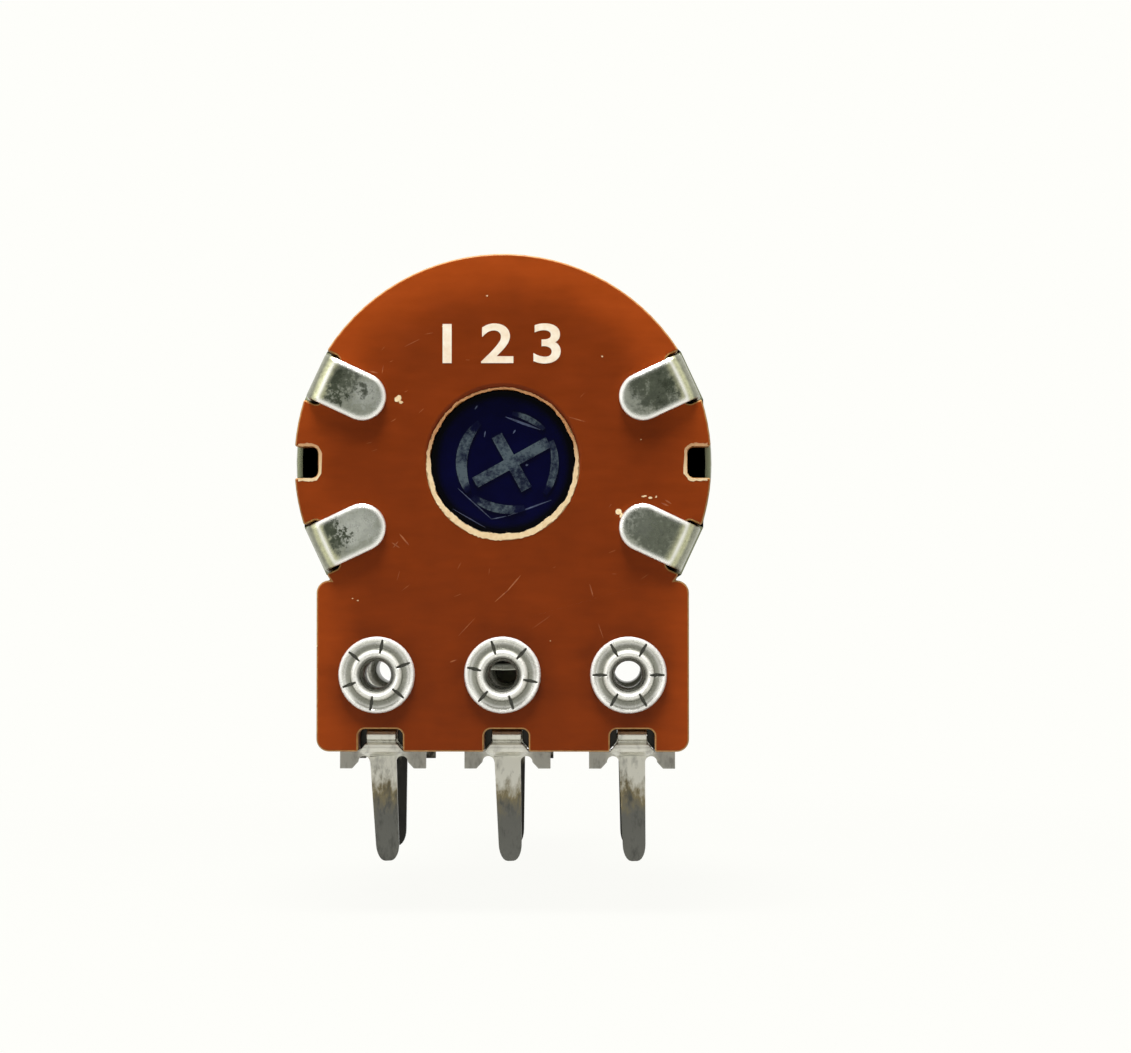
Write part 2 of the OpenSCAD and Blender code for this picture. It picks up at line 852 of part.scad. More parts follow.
// Crescent of the broken ring: from an angle, over a span, narrowing towards both ends
module crescent(from, span, w) {
    mid = from + span / 2;
    offset_r = 0.7 * w / (1 - cos(span / 2));
    intersection() {
        difference() {
            circle(r = mark_r, $fn = round_n);
            rotate(mid)
                translate([-offset_r, 0])
                    circle(r = mark_r - w + offset_r, $fn = 2 * round_n);
        }
        polygon([
            [0, 0],
            for (i = [0:4])
                let (a = from + i * span / 4)
                    2 * mark_r * [cos(a), sin(a)]
        ]);
    }
}

// Worn moulding marks on the rear rotor's face: a cross inside a broken ring
module rotor_marks() {
    translate([cross_off, 0]) {
        rotate(cross_angle) {
            square([cross_l, cross_w], center = true);
            square([cross_w, cross_s], center = true);
        }
        translate([-cross_off / 2, 0]) {
            crescent(125, 92, mark_w);
            crescent(225, 66, 0.8 * mark_w);
            crescent(-40, 66, 0.7 * mark_w);
            crescent(42, 42, 0.5 * mark_w);
        }
    }
}

module rear_rotor() {
    face_z = rear_face_z - face_sink;
    color("#14162a")
        stand() {
            difference() {
                rotor_body(rear_disc_z, rotor_joint_z, hub_hole_d / 2, face_z);
                linear_extrude(tang_end_z + clip_gap)
                    tang_outline(tang_fit);
            }
            translate([0, 0, face_z])
                linear_extrude(mark_h)
                    rotor_marks();
        }
}

// ---- Printed films ------------------------------------------------------

// Horseshoe of resistance ink, with a lead from each end to its terminal
module track(z) {
    end_a = travel / 2 + end_margin;
    end_r = track_d / 2;
    color("#26262a")
        stand()
            translate([0, 0, z - film_t]) {
                rotate(90)
                    sector((track_d - track_w) / 2, (track_d + track_w) / 2, end_a, 0, film_t);
                linear_extrude(film_t)
                    difference() {
                        for (s = [-1, 1])
                            lead([s * end_r * sin(travel / 2), end_r * cos(travel / 2)],
                                 [s * pin_pitch, -eyelet_y], track_w);
                        for (s = [-1, 1])
                            translate([s * pin_pitch, -eyelet_y])
                                circle(d = head_d, $fn = small_n);
                    }
            }
}

// Straight band from one point to another
module lead(from, to, w) {
    d = to - from;
    translate(from)
        rotate(atan2(d[1], d[0]))
            translate([0, -w / 2])
                square([norm(d), w]);
}

module front_track() {
    track(front_wafer_z);
}

module rear_track() {
    track(rear_wafer_z);
}

// Silvered ring that the wiper's inner fingers run on, with its lead to the centre terminal
module collector(z) {
    color("#c9c8c2")
        stand()
            translate([0, 0, z - film_t])
                linear_extrude(film_t)
                    difference() {
                        union() {
                            circle(d = ring_d + ring_w, $fn = round_n);
                            lead([0, -ring_d / 2], [0, -eyelet_y], track_w);
                        }
                        circle(d = ring_d - ring_w, $fn = round_n);
                        translate([0, -eyelet_y])
                            circle(d = head_d, $fn = small_n);
                    }
}

module front_collector() {
    collector(front_wafer_z);
}

module rear_collector() {
    collector(rear_wafer_z);
}

// ---- Wipers -------------------------------------------------------------

// Finger that slopes up from the plate, with its contact at radius r
module finger(r, rise) {
    root_x = plate_w / 2;
    contact_x = root_x + finger_l;
    end_x = contact_x + finger_end;
    translate([0, sqrt(pow(r, 2) - pow(contact_x, 2)) + finger_w / 2, 0])
        rotate([90, 0, 0])
            linear_extrude(finger_w)
                polygon([
                    [root_x - finger_end, 0], [root_x + spring_t, 0],
                    [contact_x, rise - spring_t], [end_x, rise - 2 * spring_t],
                    [end_x, rise - spring_t], [contact_x, rise], [root_x, spring_t],
                    [root_x - finger_end, spring_t]
                ]);
}

// Two fingers side by side on a band of the given mean radius
module finger_pair(mean_r, spread, rise) {
    for (r = [mean_r - spread, mean_r + spread])
        finger(r, rise);
}

// Spring plate staked to the rotor, with fingers on the track and on the collector ring
module wiper(disc_z) {
    rise = disc_gap - film_t - tip_gap;
    color("#c8a860")
        stand()
            translate([0, 0, disc_z + disc_t])
                difference() {
                    union() {
                        translate([-plate_w / 2, 0, 0])
                            cube([plate_w, track_d / 2, spring_t]);
                        finger_pair(track_d / 2, track_w / 4, rise);
                        mirror([1, 0, 0])
                            finger_pair(ring_d / 2, ring_w / 4, rise);
                    }
                    // Hollow round the rotor's hub
                    translate([0, 0, -over])
                        cylinder(r = hub_r + plate_gap, h = disc_gap + 2 * over,
                                 $fn = round_n);
                    for (r = stake_rs)
                        translate([0, r, -over])
                            cylinder(d = stake_d, h = 2 * over, $fn = small_n);
                }
}

module front_wiper() {
    wiper(front_disc_z);
}

module rear_wiper() {
    wiper(rear_disc_z);
}

shaft();
retaining_clip();
bush();
front_cover();
front_wafer();
front_track();
front_collector();
front_rotor();
front_wiper();
front_terminal_left();
front_terminal_centre();
front_terminal_right();
front_eyelets();
rear_can();
rear_wafer();
rear_track();
rear_collector();
rear_rotor();
rear_wiper();
rear_terminal_left();
rear_terminal_centre();
rear_terminal_right();
rear_eyelets();
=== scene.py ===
# %% [markdown]
# # A dual rotary potentiometer, seen from behind
# Two punched boards are clamped by drawn steel cans, and one shaft turns a wiper over each of them.
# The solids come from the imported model. This script gives every surface its finish, adds what is
# too fine for the solids (print, thread, chips, scratches), and lights a small studio round them.

import math
import random

import bmesh
import bpy
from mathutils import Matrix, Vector


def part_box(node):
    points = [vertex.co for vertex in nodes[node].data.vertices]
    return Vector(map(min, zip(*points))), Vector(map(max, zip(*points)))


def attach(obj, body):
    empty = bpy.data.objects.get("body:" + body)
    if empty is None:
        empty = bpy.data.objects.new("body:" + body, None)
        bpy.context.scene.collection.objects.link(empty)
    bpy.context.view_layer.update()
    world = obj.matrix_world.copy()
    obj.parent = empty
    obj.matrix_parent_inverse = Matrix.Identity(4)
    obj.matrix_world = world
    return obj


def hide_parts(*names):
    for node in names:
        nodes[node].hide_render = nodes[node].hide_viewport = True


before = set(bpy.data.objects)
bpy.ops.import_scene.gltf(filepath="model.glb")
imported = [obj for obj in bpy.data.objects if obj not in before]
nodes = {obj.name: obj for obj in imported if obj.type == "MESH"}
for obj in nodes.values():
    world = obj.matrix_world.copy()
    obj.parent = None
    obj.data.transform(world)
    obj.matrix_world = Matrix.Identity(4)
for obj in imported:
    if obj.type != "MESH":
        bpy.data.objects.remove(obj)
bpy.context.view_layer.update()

# %% [markdown]
# ## Units and places
# Sizes are written in millimetres, as on a drawing, and turned to metres in one place. The axis of
# the shaft is the Y axis, x runs to the right and z up. Where something sits on a part, its place
# is read from that part's box, so it follows if the part changes.

# %% Units and places
MM = 0.001

rear_face_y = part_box("rear_wafer")[0].y / MM
board_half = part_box("rear_wafer")[1].x / MM
board_front_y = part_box("rear_wafer")[1].y / MM
tail_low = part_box("rear_wafer")[0].z / MM
pin_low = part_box("rear_terminal_left")[0].z / MM
marks_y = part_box("rear_rotor")[0].y / MM
eyelet_low, eyelet_high = (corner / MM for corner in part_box("rear_eyelets"))
eyelet_z = (eyelet_low.z + eyelet_high.z) / 2
eyelet_half = (eyelet_high.z - eyelet_low.z) / 2
eyelet_pitch = (eyelet_high.x - eyelet_low.x) / 2 - eyelet_half
flare_height = rear_face_y - eyelet_low.y
print("rear face", rear_face_y, "board half width", board_half, "pins down to", pin_low)


def metres(x, y, z):
    return Vector((x, y, z)) * MM


# %% [markdown]
# ## Colours
# A colour is given as an sRGB hex value, but the renderer adds up light in linear values.
# One function does the change, so that every colour below can be written as it looks.

# %% Colours


def linear(hex_colour):
    shares = [int(hex_colour[i:i + 2], 16) / 255 for i in (1, 3, 5)]
    return [s / 12.92 if s <= 0.04045 else ((s + 0.055) / 1.055) ** 2.4 for s in shares] + [1.0]


print("a grey of one half is", round(linear("#808080")[0], 3), "in linear values")

# %% [markdown]
# ## One helper for nodes
# A node tree is a recipe: each node has settings and takes what other nodes give. One function
# adds a node of any kind, sets its values and joins its inputs, so that a material below reads
# from top to bottom. A whole number as a key means an input by its place, as the Mix node needs.
# A link names one output of a node, or just the node, and then its first output is taken.

# %% Node helper


def join(tree, node, links):
    for key, source in links.items():
        socket = source if isinstance(source, bpy.types.NodeSocket) else source.outputs[0]
        tree.links.new(socket, node.inputs[key])


def add(tree, kind, settings=None, links=None):
    node = tree.nodes.new(kind)
    for key, value in (settings or {}).items():
        if isinstance(key, str) and hasattr(node, key):
            setattr(node, key, value)
        else:
            node.inputs[key].default_value = value
    join(tree, node, links or {})
    return node


print("node helper ready")

# %% [markdown]
# ## Places on the object
# A finish is drawn by places in millimetres, so each material starts with the place of a point on
# the object. Three more helpers measure from there: how far a face has turned away, how far a
# point is from an axis, and how much of some round patches it lies in.

# %% Places on the object
SPOT_CORE = 0.45


def new_material(name, surface):
    """A material with its shader's own values set, and the place on the object in mm."""
    material = bpy.data.materials.new(name)
    material.use_nodes = True
    tree = material.node_tree
    shader = tree.nodes["Principled BSDF"]
    for socket, value in surface.items():
        shader.inputs[socket].default_value = value
    place = add(tree, "ShaderNodeTexCoord")
    in_mm = add(tree, "ShaderNodeVectorMath", {"operation": "SCALE", "Scale": 1 / MM},
                {0: place.outputs["Object"]})
    return material, tree, shader, in_mm


def turned_away(tree, normal):
    """1 where a face looks along the shaft, 0 where it looks away from that line."""
    across = add(tree, "ShaderNodeSeparateXYZ", {}, {0: normal})
    return add(tree, "ShaderNodeMath", {"operation": "ABSOLUTE"}, {0: across.outputs["Y"]})


def distance_to(tree, place, x, z):
    """Distance in the board's plane from the line along y at x, z."""
    flat = add(tree, "ShaderNodeVectorMath", {"operation": "MULTIPLY", 1: (1, 0, 1)}, {0: place})
    return add(tree, "ShaderNodeVectorMath", {"operation": "DISTANCE", 1: (x, 0, z)},
               {0: flat}).outputs["Value"]


def patches(tree, place, spots, wander):
    """Sum of soft round patches (x, z, radius, amount), each full in its core; wander breaks up
    their outline."""
    total = None
    for x, z, radius, amount in spots:
        reach = add(tree, "ShaderNodeMath", {"operation": "ADD"},
                    {0: distance_to(tree, place, x, z), 1: wander})
        spot = add(tree, "ShaderNodeMapRange",
                   {"interpolation_type": "SMOOTHSTEP", "From Min": radius,
                    "From Max": SPOT_CORE * radius, "To Max": amount}, {"Value": reach})
        if total is None:
            total = spot
        else:
            total = add(tree, "ShaderNodeMath", {"operation": "ADD"}, {0: total, 1: spot})
    return total


print("measuring helpers ready")

# %% [markdown]
# ## Phenolic board
# The boards are phenolic paper laminate: sheets of paper soaked in brown resin and pressed flat,
# then punched. The flat face is smooth and half glossy, with faint streaks from the paper. Light
# leaks through the thin resin at the outline, so the brown glows orange there. The glow is painted
# by the distance from the outline: from the axis on the round head, stronger towards its top, and
# from the middle line on the tail. Round the eyelets the resin is painted darker: painted shade,
# where their raised rims shade it.

# %% Resin and paper
PAPER_STREAK = 1.5
PAPER_CLOUD = 1.6
EYELET_SHADE_RADIUS = 2.6
EYELET_SHADE_DEPTH = 0.26
# Where the glow begins and where it is full: out from the axis, and out from the middle line
HEAD_GLOW = 5.6
HEAD_EDGE = 8.3
TAIL_GLOW = 4.9
TAIL_EDGE = 7.6
TAIL_SHARE = 0.62


def outline_glow(tree, x, z, radius):
    """1 at the board's outline, 0 well inside it."""
    head = add(tree, "ShaderNodeMapRange",
               {"interpolation_type": "SMOOTHERSTEP", "From Min": HEAD_GLOW,
                "From Max": HEAD_EDGE}, {"Value": radius})
    height = add(tree, "ShaderNodeMapRange", {"From Min": -4.0, "From Max": 7.0}, {"Value": z})
    head_glow = add(tree, "ShaderNodeMath", {"operation": "MULTIPLY"}, {0: head, 1: height})
    side = add(tree, "ShaderNodeMath", {"operation": "ABSOLUTE"}, {0: x})
    tail = add(tree, "ShaderNodeMapRange",
               {"interpolation_type": "SMOOTHSTEP", "From Min": TAIL_GLOW,
                "From Max": TAIL_EDGE, "To Max": TAIL_SHARE}, {"Value": side})
    below = add(tree, "ShaderNodeMapRange", {"From Min": -3.6, "From Max": -5.2}, {"Value": z})
    tail_glow = add(tree, "ShaderNodeMath", {"operation": "MULTIPLY"}, {0: tail, 1: below})
    return add(tree, "ShaderNodeMath", {"operation": "MAXIMUM"}, {0: head_glow, 1: tail_glow})


def resin(tree, place, glow):
    """The colour of the flat face, with its painted glow and the painted shade round the eyelets,
    and the streaks of the paper in it.
    """
    brown = add(tree, "ShaderNodeMix",
                {"data_type": "RGBA", 6: linear("#7a3007"), 7: linear("#a04310")}, {0: glow})
    along = add(tree, "ShaderNodeMapping", {"Scale": (1, 2.4, 4)}, {"Vector": place})
    paper = add(tree, "ShaderNodeTexNoise",
                {"Scale": 1 / PAPER_STREAK, "Detail": 5.0, "Roughness": 0.6}, {"Vector": along})
    clouds = add(tree, "ShaderNodeTexNoise", {"Scale": 1 / PAPER_CLOUD, "Detail": 2.0},
                 {"Vector": place})
    blend = add(tree, "ShaderNodeMath", {"operation": "ADD"}, {0: paper, 1: clouds})
    shade = add(tree, "ShaderNodeMapRange",
                {"From Min": 0.6, "From Max": 1.4, "To Min": 0.86, "To Max": 1.12},
                {"Value": blend})
    ragged = add(tree, "ShaderNodeMapRange", {"To Min": -0.4, "To Max": 0.4}, {"Value": clouds})
    # Painted shade round each eyelet, where its raised rim shades the resin
    eyelet_shade_spots = [(i * eyelet_pitch, eyelet_z, EYELET_SHADE_RADIUS, EYELET_SHADE_DEPTH) for i in (-1, 0, 1)]
    tone_and_shade = add(tree, "ShaderNodeMath", {"operation": "SUBTRACT"},
                {0: shade, 1: patches(tree, place, eyelet_shade_spots, ragged)})
    face = add(tree, "ShaderNodeVectorMath", {"operation": "SCALE"},
               {0: brown.outputs[2], "Scale": tone_and_shade})
    return face, paper


print("paper streaks", PAPER_STREAK, "mm long, clouds", PAPER_CLOUD, "mm wide")

# %% [markdown]
# ## The board's punched edge
# The punch breaks the laminate white and dusty, which draws a thin tan line round the board and
# its holes. Round the rotor's hole that line is narrow at the top and wide at the bottom, and it
# is painted cream towards the bottom: a painted highlight, where the edge faces the light from
# above. The wall behind it is browner, and the sheets of paper show on it as lines. How far a
# face has turned away tells the flat, the rounding and the wall apart.

# %% Punched edge
PAPER_SHEET = 0.16
EDGE_GRAIN = 0.2
HOLE_RIM = 3.3
RIM_TOP = 2.98
RIM_WIDER = 0.14


def punched_edge(tree, place, z, radius):
    """The colour of the punched edge, and how much of it covers a place."""
    flatness = turned_away(tree, add(tree, "ShaderNodeNewGeometry").outputs["Normal"])
    cut = add(tree, "ShaderNodeMapRange", {"From Min": 0.985, "From Max": 0.88},
              {"Value": flatness})
    # Painted highlight: the hole's edge turns cream towards the bottom, which faces the light from
    # above
    low = add(tree, "ShaderNodeMapRange", {"From Min": 2.2, "From Max": -2.4}, {"Value": z})
    in_hole = add(tree, "ShaderNodeMath", {"operation": "LESS_THAN", 1: HOLE_RIM}, {0: radius})
    pale = add(tree, "ShaderNodeMath", {"operation": "MULTIPLY"}, {0: low, 1: in_hole})
    dust_and_highlight = add(tree, "ShaderNodeMix",
               {"data_type": "RGBA", 6: linear("#b48a55"), 7: linear("#f3dba9")}, {0: pale})
    sheets = add(tree, "ShaderNodeMapping", {"Scale": (0.5, 1 / PAPER_SHEET, 0.5)},
                 {"Vector": place})
    layers = add(tree, "ShaderNodeTexNoise", {"Scale": 1.0, "Detail": 3.0, "Roughness": 0.6},
                 {"Vector": sheets})
    torn = add(tree, "ShaderNodeMix",
               {"data_type": "RGBA", 6: linear("#6f3c18"), 7: linear("#ab7640")},
               {0: add(tree, "ShaderNodeMapRange", {"From Min": 0.35, "From Max": 0.65},
                       {"Value": layers})})
    on_wall = add(tree, "ShaderNodeMapRange", {"From Min": 0.5, "From Max": 0.2},
                  {"Value": flatness})
    tone = add(tree, "ShaderNodeMix", {"data_type": "RGBA"},
               {0: on_wall, 6: dust_and_highlight.outputs[2], 7: torn.outputs[2]})
    # Grains break up the line, and round the hole it ends where the bared rim ends
    grain = add(tree, "ShaderNodeTexNoise", {"Scale": 1 / EDGE_GRAIN, "Detail": 4.0},
                {"Vector": place})
    broken = add(tree, "ShaderNodeMapRange",
                 {"From Min": 0.3, "From Max": 0.55, "To Min": 0.5, "To Max": 1.0},
                 {"Value": grain})
    rim_end = add(tree, "ShaderNodeMath", {"operation": "MULTIPLY_ADD", 1: RIM_WIDER, 2: RIM_TOP},
                  {0: low})
    beyond = add(tree, "ShaderNodeMath", {"operation": "GREATER_THAN"}, {0: radius, 1: rim_end})
    kept = add(tree, "ShaderNodeMath", {"operation": "MULTIPLY"}, {0: beyond, 1: in_hole})
    bared = add(tree, "ShaderNodeMath", {"operation": "SUBTRACT", "use_clamp": True},
                {0: broken, 1: kept})
    share = add(tree, "ShaderNodeMath", {"operation": "MULTIPLY"}, {0: cut, 1: bared})
    return tone.outputs[2], share


print("sheets of paper", PAPER_SHEET, "mm thick on the edge")

# %% [markdown]
# ## The board's whole finish
# The edge is laid over the flat face, and the shader gets what is left: the resin's sheen, which
# is a little duller where the paper comes near the face, and a very low relief of its fibres.

# %% Board finish


def phenolic_board():
    material, tree, shader, place = new_material(
        "phenolic_paper_laminate",
        {"IOR": 1.55, "Roughness": 0.34, "Specular IOR Level": 0.09})
    axes = add(tree, "ShaderNodeSeparateXYZ", {}, {0: place}).outputs
    radius = distance_to(tree, place, 0, 0)
    face, paper = resin(tree, place, outline_glow(tree, axes["X"], axes["Z"], radius))
    edge_tone, edge = punched_edge(tree, place, axes["Z"], radius)
    colour = add(tree, "ShaderNodeMix", {"data_type": "RGBA"}, {0: edge, 6: face, 7: edge_tone})
    rough = add(tree, "ShaderNodeMapRange",
                {"From Min": 0.3, "From Max": 0.7, "To Min": 0.28, "To Max": 0.46},
                {"Value": paper})
    bump = add(tree, "ShaderNodeBump", {"Strength": 0.12, "Distance": 0.03 * MM},
               {"Height": paper})
    join(tree, shader, {"Base Color": colour.outputs[2], "Roughness": rough, "Normal": bump})
    return material


board_finish = phenolic_board()
print("made", board_finish.name)

# %% [markdown]
# ## Zinc-plated steel
# The cover and the can are drawn from thin steel and barrel plated with zinc, with a faint yellow
# chromate. Drawing pulled fine streaks along the walls, which the plating only half hides. Where
# the sheet was folded, a creamy band of painted sheen runs along the bend, with a grey line of
# painted shade along its outside, where the bend turns away. These tones follow each other
# outwards, so a colour ramp holds them, read at the distance from the axis.

# %% Drawn and folded sheet
DRAW_LINE = 0.3
# How far from the axis the tabs begin, their flat ends, the bend begins and the tabs end
TAB_FROM = 5.0
FLAT_END = 7.35
BEND_FROM = 7.7
TAB_TO = 8.4


def set_stops(ramp, stops):
    """stops: how far along the ramp, and the colour there, from first to last."""
    first, *between, last = stops
    for element, (position, shade) in zip(ramp.elements, (first, last)):
        element.position = position
        element.color = linear(shade)
    for position, shade in between:
        ramp.elements.new(position).color = linear(shade)


def sheet_tone(tree, radius, streaks, behind):
    """The streaked walls, and the folded tabs that lie behind the board, with painted sheen on the
    bend and painted shade outside it.
    """
    drawn = add(tree, "ShaderNodeMix",
                {"data_type": "RGBA", 6: linear("#a0a296"), 7: linear("#b3b4a8")},
                {0: add(tree, "ShaderNodeMapRange", {"From Min": 0.35, "From Max": 0.65},
                        {"Value": streaks})})
    outwards = add(tree, "ShaderNodeMapRange", {"From Min": TAB_FROM, "From Max": TAB_TO},
                   {"Value": radius})
    folded_sheen_and_shade = add(tree, "ShaderNodeValToRGB", {}, {0: outwards})
    # Tab flat, a cream band of painted sheen on the bend, a grey line of painted shade outside it,
    # then the wall
    set_stops(folded_sheen_and_shade.color_ramp, [(0.0, "#a2a598"), (0.7, "#9a9d8e"), (0.78, "#bfbf98"),
                                  (0.87, "#c3c39f"), (0.9, "#8f9080"), (1.0, "#b5b6a2")])
    return add(tree, "ShaderNodeMix", {"data_type": "RGBA"},
               {0: behind, 6: drawn.outputs[2], 7: folded_sheen_and_shade}).outputs[2]


print("drawn streaks", DRAW_LINE, "mm wide")

# %% [markdown]
# ## Mottling on the tabs
# On the flat of each tab the plating is painted mottled, with pale smears and dark, cloudy patches.
# They are listed one by one, as such patches have no pattern, and noise breaks up their outlines.
# The smears go on first, the dark patches over them.

# %% Mottling on the tabs
RUB_CLOUD = 0.75
RUB_GRAIN = 0.16
PALE_PATCHES = [
    (-5.5, 2.75, 0.85, 0.8), (-5.9, -2.6, 1.2, 0.85), (5.35, -2.3, 0.6, 0.5),
    (6.6, 2.75, 0.4, 0.35), (5.3, 2.55, 0.5, 0.6), (-6.75, 3.0, 0.4, 0.5)
]
DARK_PATCHES = [
    (-6.5, 3.3, 1.2, 0.85), (-6.9, 2.75, 0.7, 0.7), (-7.05, -2.7, 0.7, 0.9),
    (-6.8, -3.3, 0.7, 0.9), (6.1, 3.15, 1.6, 0.9), (6.2, -2.85, 1.6, 0.72),
    (7.1, 3.3, 0.8, 0.4)
]


def tab_mottling(tree, place, radius, behind, sheet):
    """The sheet's colour with the pale and dark patches laid over it, and the clouds that they
    follow.
    """
    clouds = add(tree, "ShaderNodeTexNoise",
                 {"Scale": 1 / RUB_CLOUD, "Detail": 4.0, "Roughness": 0.62}, {"Vector": place})
    grains = add(tree, "ShaderNodeTexNoise",
                 {"Scale": 1 / RUB_GRAIN, "Detail": 3.0, "Roughness": 0.7}, {"Vector": place})
    mixed = add(tree, "ShaderNodeMath", {"operation": "MULTIPLY_ADD", 1: 0.7},
                {0: grains, 2: clouds})
    wander = add(tree, "ShaderNodeMapRange",
                 {"From Min": 0.5, "From Max": 1.2, "To Min": -1.1, "To Max": 1.1},
                 {"Value": mixed})
    off_bend = add(tree, "ShaderNodeMapRange",
                   {"interpolation_type": "SMOOTHSTEP", "From Min": BEND_FROM,
                    "From Max": FLAT_END}, {"Value": radius})
    on_tab = add(tree, "ShaderNodeMath", {"operation": "MULTIPLY"}, {0: behind, 1: off_bend})
    tone = sheet
    for mottles, shade in ((PALE_PATCHES, "#c9ccc2"), (DARK_PATCHES, "#565c4c")):
        share = add(tree, "ShaderNodeMath", {"operation": "MULTIPLY", "use_clamp": True},
                    {0: patches(tree, place, mottles, wander), 1: on_tab})
        tone = add(tree, "ShaderNodeMix", {"data_type": "RGBA", 7: linear(shade)},
                   {0: share, 6: tone}).outputs[2]
    speckle = add(tree, "ShaderNodeMapRange",
                  {"From Min": 0.35, "From Max": 0.6, "To Min": 0.76, "To Max": 1.04},
                  {"Value": grains})
    only_tab = add(tree, "ShaderNodeMix", {"data_type": "FLOAT", 2: 1.0},
                   {0: behind, 3: speckle})
    worn = add(tree, "ShaderNodeVectorMath", {"operation": "SCALE"},
               {0: tone, "Scale": only_tab})
    return worn, clouds


print("rubs on the tabs:", len(PALE_PATCHES), "pale and", len(DARK_PATCHES), "dark")

# %% [markdown]
# ## Edges of the plated sheet
# Tumbling in the plating barrel rounds the tabs' edges, and these rounded edges are painted white:
# a painted highlight where they catch the studio's light. The Bevel node rounds them further in
# than the bevel on the mesh could, on sheet as thin as this. The cut end of the can's wall shows in
# the side notches: bare steel that has gone olive.

# %% Edges of the plated sheet
BARREL_ROUND = 0.36
HIGHLIGHT_END = 7.9
CUT_REACH = 0.06


def edge_highlight(tree, radius, behind, soft_edge, sheet):
    rounded = add(tree, "ShaderNodeMapRange", {"From Min": 0.994, "From Max": 0.965},
                  {"Value": turned_away(tree, soft_edge)})
    before_bend = add(tree, "ShaderNodeMapRange",
                      {"interpolation_type": "SMOOTHSTEP", "From Min": HIGHLIGHT_END,
                       "From Max": BEND_FROM}, {"Value": radius})
    on_edge = add(tree, "ShaderNodeMath", {"operation": "MULTIPLY"}, {0: behind, 1: before_bend})
    share = add(tree, "ShaderNodeMath", {"operation": "MULTIPLY"}, {0: rounded, 1: on_edge})
    # Painted highlight: the rounded edges of the tabs, short of the bend, are painted white
    return add(tree, "ShaderNodeMix", {"data_type": "RGBA", 7: linear("#f6f5ef")},
               {0: share, 6: sheet}).outputs[2]


def cut_end(tree, y, sheet):
    at_end = add(tree, "ShaderNodeMath",
                 {"operation": "COMPARE", 1: board_front_y, 2: CUT_REACH}, {0: y})
    shape = add(tree, "ShaderNodeNewGeometry")
    facing = add(tree, "ShaderNodeMath", {"operation": "GREATER_THAN", 1: 0.8},
                 {0: turned_away(tree, shape.outputs["Normal"])})
    share = add(tree, "ShaderNodeMath", {"operation": "MULTIPLY"}, {0: at_end, 1: facing})
    return add(tree, "ShaderNodeMix", {"data_type": "RGBA", 7: linear("#7d8066")},
               {0: share, 6: sheet}).outputs[2]


def plated_steel():
    material, tree, shader, place = new_material(
        "zinc_plated_drawn_steel", {"Metallic": 0.86, "Roughness": 0.3})
    radius = distance_to(tree, place, 0, 0)
    y = add(tree, "ShaderNodeSeparateXYZ", {}, {0: place}).outputs["Y"]
    behind = add(tree, "ShaderNodeMapRange",
                 {"From Min": rear_face_y + 1, "From Max": rear_face_y}, {"Value": y})
    pulled = add(tree, "ShaderNodeMapping", {"Scale": (1 / DRAW_LINE, 0.25, 1 / DRAW_LINE)},
                 {"Vector": place})
    streaks = add(tree, "ShaderNodeTexNoise", {"Scale": 1.0, "Detail": 3.0}, {"Vector": pulled})
    sheet = sheet_tone(tree, radius, streaks, behind)
    worn, clouds = tab_mottling(tree, place, radius, behind, sheet)
    soft_edge = add(tree, "ShaderNodeBevel", {"samples": 8, "Radius": BARREL_ROUND * MM})
    burnished_and_highlit = edge_highlight(tree, radius, behind, soft_edge, worn)
    rough = add(tree, "ShaderNodeMapRange",
                {"From Min": 0.3, "From Max": 0.7, "To Min": 0.2, "To Max": 0.4},
                {"Value": clouds})
    bump = add(tree, "ShaderNodeBump", {"Strength": 0.16, "Distance": 0.01 * MM},
               {"Height": streaks, "Normal": soft_edge})
    join(tree, shader, {"Base Color": cut_end(tree, y, burnished_and_highlit), "Roughness": rough,
                        "Normal": bump})
    return material


steel_finish = plated_steel()
print("made", steel_finish.name)

# %% [markdown]
# ## Tinned terminals
# The terminals are stamped from brass strip and tinned. Tin is soft and dull, so it shows a broad,
# pale sheen and hardly any sharp reflection; only the pressed step was burnished by its die. Below
# the feet, handling and flux have left a brown stain that starts a little under the board and
# gets darker towards the tip. The front gang's pins are painted almost black, as painted shade,
# for they stand in the shadow under the board; so one recipe takes the tones and where the
# darkening starts. The feet stand beside the pins, and both repeat at the eyelets' pitch, so one
# distance, wrapped at that pitch, finds them on all three; the feet are painted a darker grey.
# Where the strip lies against the board it is painted dark: painted shade in the gap.

# %% Tinned terminals
STAIN_CLOUD = 0.5
DIE_ROUND = 0.06
# The pins stand this far beside the eyelets; beyond the pin's edge the foot begins
PIN_SHIFT = 0.15
PIN_EDGE = 0.6
FOOT_EDGE = 1.1
GAP_SHADE_SKIN = 0.04


def from_row(tree, x, shift=0.0):
    """Signed distance in x from the nearest of the three eyelets, or from a row beside them."""
    moved = add(tree, "ShaderNodeMath", {"operation": "SUBTRACT", 1: shift}, {0: x})
    return add(tree, "ShaderNodeMath",
               {"operation": "WRAP", 1: eyelet_pitch / 2, 2: -eyelet_pitch / 2}, {0: moved})


